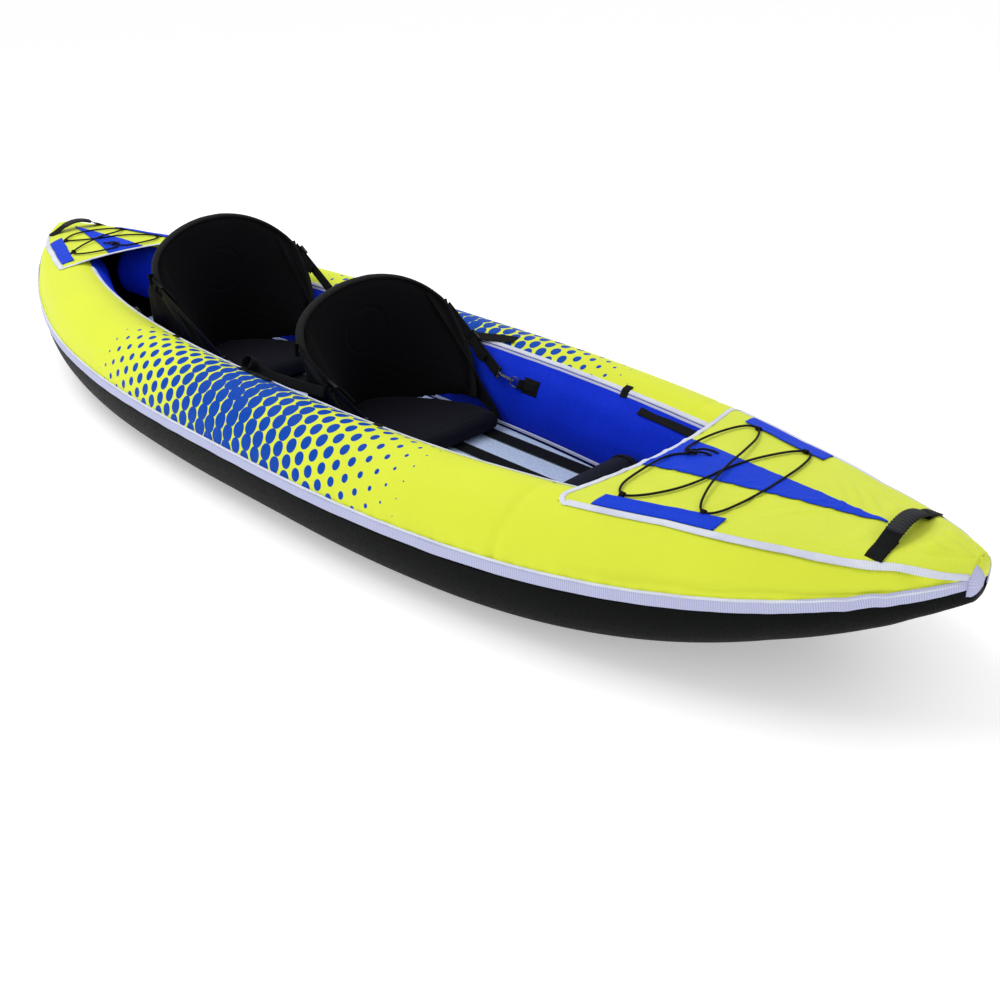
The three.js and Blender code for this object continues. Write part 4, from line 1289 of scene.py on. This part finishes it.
def wire_link(name, centre, along, face, half_length, half_width, wire):
    across = face.cross(along).normalized()
    straight = half_length - half_width
    points = []
    for end in (1, -1):
        for i in range(13):
            a = math.radians(-90 + 180 * i / 12)
            out = along * (end * math.cos(a)) + across * (end * math.sin(a))
            points.append(centre + along * (end * straight) + out * half_width)
    count = len(points)
    rows = []
    for i, p in enumerate(points):
        tangent = (points[(i + 1) % count] - points[i - 1]).normalized()
        out = tangent.cross(face).normalized()
        rows.append([p + out * (wire * math.cos(t)) + face * (wire * math.sin(t))
                     for t in (2 * math.pi * k / 12 for k in range(12))])
    rows.append(rows[0])
    return face_out(sheet_mesh(name, rows, closed=True))


# The D-ring, the doubled webbing that holds it and the patch under both.
def strap_ring(seat_name, side_name, side):
    tag = f"{seat_name}_{side_name}"
    wall, normal, along, face = ring_frame(seat_name, side)
    centre = wall + normal * RING_OFFSET
    ring = wire_link(f"ring_{tag}", centre, along, face, 0.014, 0.012, 0.002)
    dress(ring, "metal", "hull", f"{seat_name}_ring_{side_name}")
    x = RING_X[seat_name]
    sewn = [on_tube(x + b, RING_ANGLE, side, 0.0030) for b in (0.064, 0.050, 0.036, 0.024)]
    round_ring = ((0.016, 0.0012), (0.0095, 0.001), (0.0105, -0.0035), (0.018, -0.0040))
    loop = sewn + [centre - along * back + face * out for back, out in round_ring]
    path = curve_points(loop, 44)
    ups = [-face.cross(along).cross(run).normalized() for run in directions(path)]
    dress(sweep(f"ring_tab_{tag}", path, ups, flat_section(0.026, STRAP_THICK)), "webbing")
    patch = [on_tube(x + b, RING_ANGLE, side, 0.0016) for b in np.linspace(0.074, 0.020, 10)]
    dress(sweep(f"ring_patch_{tag}", patch, [normal] * 10, flat_section(0.042, 0.0016)), "webbing")


# The snap hook: a wire body with a swivel collar and a strap bar.
def snap_hook(seat_name, side_name, side):
    tag = f"{seat_name}_{side_name}"
    wall, normal, along, face = ring_frame(seat_name, side)
    centre = wall + normal * RING_OFFSET
    across = face.cross(along).normalized()
    wire = wire_link(f"hook_{tag}", centre + along * 0.027, along, across, 0.024, 0.0075, 0.0022)
    profile = ((0.0035, -0.004), (0.0052, -0.003), (0.0052, 0.003), (0.0035, 0.004))
    collar = turned(f"collar_{tag}", profile, centre + along * 0.050, along, 20)
    bar_at = centre + along * HOOK_REACH
    bar = rounded_box(f"bar_{tag}", bar_at, (along, across, face), (0.005, 0.030, 0.004), 0.0015)
    hook = merge(f"snap_hook_{tag}", [wire, collar, bar])
    dress(hook, "metal", "hull", f"{seat_name}_hook_{side_name}")


# Webbing from the hook's bar up to a ladder lock, and on to the backrest's side where a patch holds it.
def seat_strap(seat_name, side_name, side):
    seat = SEATS[seat_name]
    tag = f"{seat_name}_{side_name}"
    body = f"{seat_name}_backrest"
    wall, normal, along, face = ring_frame(seat_name, side)
    start = wall + normal * RING_OFFSET + along * HOOK_REACH
    z = seat["strap_z"]
    w = back_half(seat, z) + 0.003
    end = Vector((back_face(seat, w, z) - 0.006, side * (seat["wide"] + 0.007), z))
    lock_share = seat["lock_share"]
    outward = Vector((0.1, -side, 0.15)).normalized()

    def stretch(name, low, high, lift):
        shares = [low + (high - low) * t for t in np.linspace(0, 1, 16)]
        ups = [face.lerp(outward, t).normalized() for t in shares]
        path = [start.lerp(end, t) + up * lift for t, up in zip(shares, ups)]
        return sweep(name, path, ups, flat_section(0.028, STRAP_THICK))

    below = stretch(f"a_{tag}", 0, lock_share, 0)
    above = stretch(f"b_{tag}", lock_share, 1, 0.003)
    mid = start.lerp(end, lock_share)
    up = face.lerp(outward, lock_share).normalized()
    run = (end - start).normalized()
    cross = up.cross(run).normalized()
    hanging = ((0.0035, 0, 0), (0.006, 0.02, 0.002), (0.008, 0.045, 0.006), (0.007, 0.070, 0.004))
    tail_path = curve_points([mid + up * a - run * b + cross * c for a, b, c in hanging], 18)
    tail = sweep(f"c_{tag}", tail_path, [up] * 18, flat_section(0.025, STRAP_THICK))
    strap = merge(f"strap_webbing_{tag}", [below, above, tail])
    dress(strap, "webbing", None, f"{seat_name}_strap_{side_name}")
    axes = (run, cross, up)
    rails = []
    for offset in (0.0165, -0.0165):
        rails.append(rounded_box("rail", mid + cross * offset, axes, (0.030, 0.0035, 0.006), 0.001))
    for offset in (-0.0135, -0.001, 0.0130):
        place = mid + run * offset + up * 0.0015
        rails.append(rounded_box("rung", place, axes, (0.0040, 0.033, 0.0045), 0.001))
    lock = dress(merge(f"ladder_lock_{tag}", rails), "plastic", None)
    for piece in (strap, lock):
        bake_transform(piece)
    lean = Vector((0.3, 0, -0.95))
    sideways = Vector((0, 1, 0))
    anchor_at = end + Vector((-0.006, -side * 0.010, 0.002))
    anchor_axes = (lean.cross(sideways), sideways, lean)
    tab = rounded_box(f"strap_anchor_{tag}", anchor_at, anchor_axes, (0.004, 0.024, 0.026), 0.0015)
    dress(tab, "webbing", body)


for seat_name in SEATS:
    for side_name, side in SIDES.items():
        strap_ring(seat_name, side_name, side)
        snap_hook(seat_name, side_name, side)
        seat_strap(seat_name, side_name, side)


# ---- footrest ----
FOOTREST_X, FOOTREST_R, FOOTREST_HALF = 0.755, 0.047, 0.172
FOOTREST_Z = FLOOR_TOP + 0.0055 + FOOTREST_R


def footrest():
    rows = []
    for i in range(90):
        t = -1 + 2 * i / 89
        y = FOOTREST_HALF * t
        end = max(0.0, 1 - max(0.0, (abs(y) - (FOOTREST_HALF - 0.030)) / 0.030) ** 2.4) ** 0.5
        groove = 1 - 0.035 * math.exp(-((abs(y) - 0.135) / 0.003) ** 2)
        ring = []
        for k in range(56):
            a = 2 * math.pi * k / 56
            gather = 0.0016 * math.sin(9 * a + 3 * t) * math.exp(-((abs(y) - 0.135) / 0.03) ** 2)
            lump = 0.0014 * waver(y * 14, math.cos(a) * 1.4, math.sin(a) * 1.4)
            r = (FOOTREST_R - 0.002) * max(0.05, end) * groove + gather + lump
            z = max(-0.9 * FOOTREST_R, r * math.sin(a))
            ring.append(Vector((FOOTREST_X + r * math.cos(a), y, FOOTREST_Z + z)))
        rows.append(ring)
    obj = face_out(sheet_mesh("footrest_roll", rows, closed=True, caps=True))
    dress(obj, "roll", "footrest", "footrest")
    for k, y in enumerate((-0.135, 0.135)):
        middle = Vector((FOOTREST_X, y, FOOTREST_Z))
        path = []
        for i in range(49):
            a = 2 * math.pi * i / 48
            path.append(middle + Vector((0.0462 * math.cos(a), 0, 0.0462 * math.sin(a))))
        ups = [(p - middle).normalized() for p in path]
        dress(sweep(f"footrest_piping_{k}", path, ups, round_section(0.0018, 8)), "binding", "footrest")


footrest()


# ---- small fittings on the rims ----
def tube_strap(name, side, spots, width, look="webbing", node=None, thick=0.0020):
    path = curve_points([on_tube(x, a, side, lift) for x, a, lift in spots], 60)
    ups = []
    for p, run in zip(path, directions(path)):
        out = p - Vector((p.x, side * hull(p.x).yc, hull(p.x).zc))
        out -= run * out.dot(run)
        ups.append(out.normalized())
    obj = sweep(name, path, ups, flat_section(width, thick))
    return dress(obj, look, "hull", node)


# Each route along the tube's top: x, angle and height over the tube.
STARBOARD_PADDLE = ((-0.125, 112, 0.0045), (-0.06, 113, 0.005), (0.0, 112, 0.0045))
PORT_PADDLE = ((0.082, 123, 0.008), (0.135, 119, 0.007), (0.19, 113, 0.0055), (0.242, 107, 0.004))
tube_strap("paddle_webbing_starboard", -1, STARBOARD_PADDLE, 0.022, "webbing", "paddle_strap_starboard")
tube_strap("paddle_webbing_port", 1, PORT_PADDLE, 0.030, "webbing", "paddle_strap_port")


def paddle_loop(name, x, degrees, side):
    base = on_tube(x, degrees, side, 0.003)
    normal = tube_normal(x, degrees, side)
    path = []
    for i in range(49):
        a = 2 * math.pi * i / 48
        path.append(base + normal * (0.018 - 0.018 * math.cos(a)) + Vector((0.020 * math.sin(a), 0, 0)))
    middle = base + normal * 0.018
    ups = [(p - middle).normalized() for p in path]
    dress(sweep(name, path, ups, flat_section(0.024, 0.0020)), "webbing")


paddle_loop("paddle_loop_starboard", -0.115, 119, -1)


# The front strap's long end, standing on edge along the inside of the starboard rim.
def strap_end():
    route = [(0.145, -0.247, 0.283), (0.095, -0.256, 0.283), (0.035, -0.262, 0.281), (-0.030, -0.266, 0.279),
             (-0.085, -0.268, 0.281), (-0.125, -0.270, 0.284)]
    path = curve_points(route, 50)
    ups = [Vector((0.05 * math.sin(i / 6), -1, 0.35)) for i in range(50)]
    dress(sweep("strap_end_starboard", path, ups, flat_section(0.027, 0.0020)), "webbing")


strap_end()


# Webbing tabs that lie over the rim piping.
RIM_TABS = ((0.390, -1), (0.660, 1), (-0.45, -1), (-0.45, 1))
TAB_ROUTE = ((113, 0.0030), (116, 0.0046), (120, 0.0068), (124, 0.0042), (128, 0.0028))
for k, (x, side) in enumerate(RIM_TABS):
    tube_strap(f"rim_tab_{k}", side, [(x, a, lift) for a, lift in TAB_ROUTE], 0.022)

# The hook-and-loop strip on each inner wall, and the row of stitches across it.
for name, side in SIDES.items():
    spots = [(x, 134, 0.0022) for x in np.linspace(0.725, 0.925, 6)]
    tube_strap(f"wall_grip_{name}", side, spots, 0.021, "webbing", None, 0.0018)
    for k in range(9):
        spots = [(0.850, 143 + 5 * k + d, 0.0012) for d in (0, 1, 2, 3)]
        tube_strap(f"wall_stitch_{name}_{k}", side, spots, 0.0022, "panel", None, 0.0012)


# ---- valves: flange and lobed cap on each chamber ----
VALVE_X, VALVE_ANGLE, FLOOR_VALVE_X = -0.850, 150, -0.980
# Radius and height of each outline.
FLANGE = ((0.003, -0.009), (0.0135, -0.004), (0.0245, -0.0008), (0.0248, 0.0012), (0.0235, 0.0028),
          (0.0205, 0.0036), (0.0195, 0.0037))
KNOB = ((0.0100, 0.0042), (0.0172, 0.0043), (0.0176, 0.0055), (0.0177, 0.0100), (0.0170, 0.0117),
        (0.0150, 0.0121), (0.0115, 0.0114), (0.0060, 0.0112), (0.0050, 0.0118), (0.0010, 0.0120))
CAP_LOBES = 12


def lobes(angle, r, h):
    return 0.035 * math.cos(CAP_LOBES * angle) if r > 0.0165 else 0.0


def valve(tag, at, axis):
    flange = turned(f"valve_flange_{tag}", FLANGE, at, axis, 64)
    dress(flange, "plastic", "hull", f"valve_{tag}")
    knob = turned(f"cap_knob_{tag}", KNOB, at, axis, 96, lobes)
    dress(knob, "plastic", f"{tag}_cap", f"valve_cap_{tag}")


CAP_AXES = {joint["name"]: joint["axis"] for joint in frame["joints"]}
for name, side in SIDES.items():
    beam, bottom, top, ry, rz, yc, zc = hull(VALVE_X)
    c, s = cos_deg(VALVE_ANGLE), sin_deg(VALVE_ANGLE)
    spot = Vector((VALVE_X, side * (yc + (ry + 0.0026) * c), zc + (rz + 0.0026) * s))
    valve(name, spot, CAP_AXES[f"{name}_cap_turn"])
valve("floor", Vector((FLOOR_VALVE_X, 0, floor_top(FLOOR_VALVE_X) + 0.0024)), UP)


# ---- stage, light and camera ----
def stage_floor():
    rows = [[Vector((x, y, -0.0005)) for y in np.linspace(-30, 30, 9)] for x in np.linspace(-30, 30, 9)]
    obj = sheet_mesh("studio_floor", rows)
    s = Shader("studio_paper", 0.85, 0.0, 0.1)
    s.colour(s.mix(s.noise(s.place(), 2.0), (0.89, 0.89, 0.89), (0.91, 0.91, 0.91)))
    s.bsdf.inputs["Emission Color"].default_value = (1, 1, 1, 1)
    s.bsdf.inputs["Emission Strength"].default_value = 0.36
    obj.data.materials.append(s.material)


def area_light(name, place, target, size, power):
    light = bpy.data.lights.new(name, "AREA")
    light.shape = "RECTANGLE"
    light.size, light.size_y = size
    light.energy = power
    obj = bpy.data.objects.new(name, light)
    obj.location = place
    obj.rotation_euler = (Vector(target) - Vector(place)).to_track_quat("-Z", "Y").to_euler()
    bpy.context.collection.objects.link(obj)


stage_floor()
area_light("key", (-1.6, -1.2, 4.2), (0.2, 0, 0.2), (3.0, 2.4), 88)
area_light("fill", (3.4, -3.2, 2.4), (0.3, 0, 0.2), (2.6, 2.0), 6)
area_light("back", (0.5, 3.6, 2.6), (0.3, 0, 0.3), (3.0, 1.6), 15)

world = bpy.data.worlds.new("studio")
world.use_nodes = True
world.node_tree.nodes["Background"].inputs["Color"].default_value = (1, 1, 1, 1)
world.node_tree.nodes["Background"].inputs["Strength"].default_value = 0.70
bpy.context.scene.world = world
bpy.context.scene.view_settings.view_transform = "Standard"
bpy.context.scene.view_settings.look = "None"

CAMERA_PLACE = (2.196, -1.715, 1.307)
CAMERA_AZIMUTH, CAMERA_ELEVATION = 43.57, 28.45
camera = bpy.data.cameras.new("camera")
camera.sensor_width = 36
camera.lens = 40.32
camera.shift_x = -0.0235
camera.shift_y = 0.0101
view = bpy.data.objects.new("camera", camera)
view.location = CAMERA_PLACE
view.rotation_euler = (math.radians(90 - CAMERA_ELEVATION), 0, math.radians(CAMERA_AZIMUTH))
bpy.context.collection.objects.link(view)
bpy.context.scene.camera = view
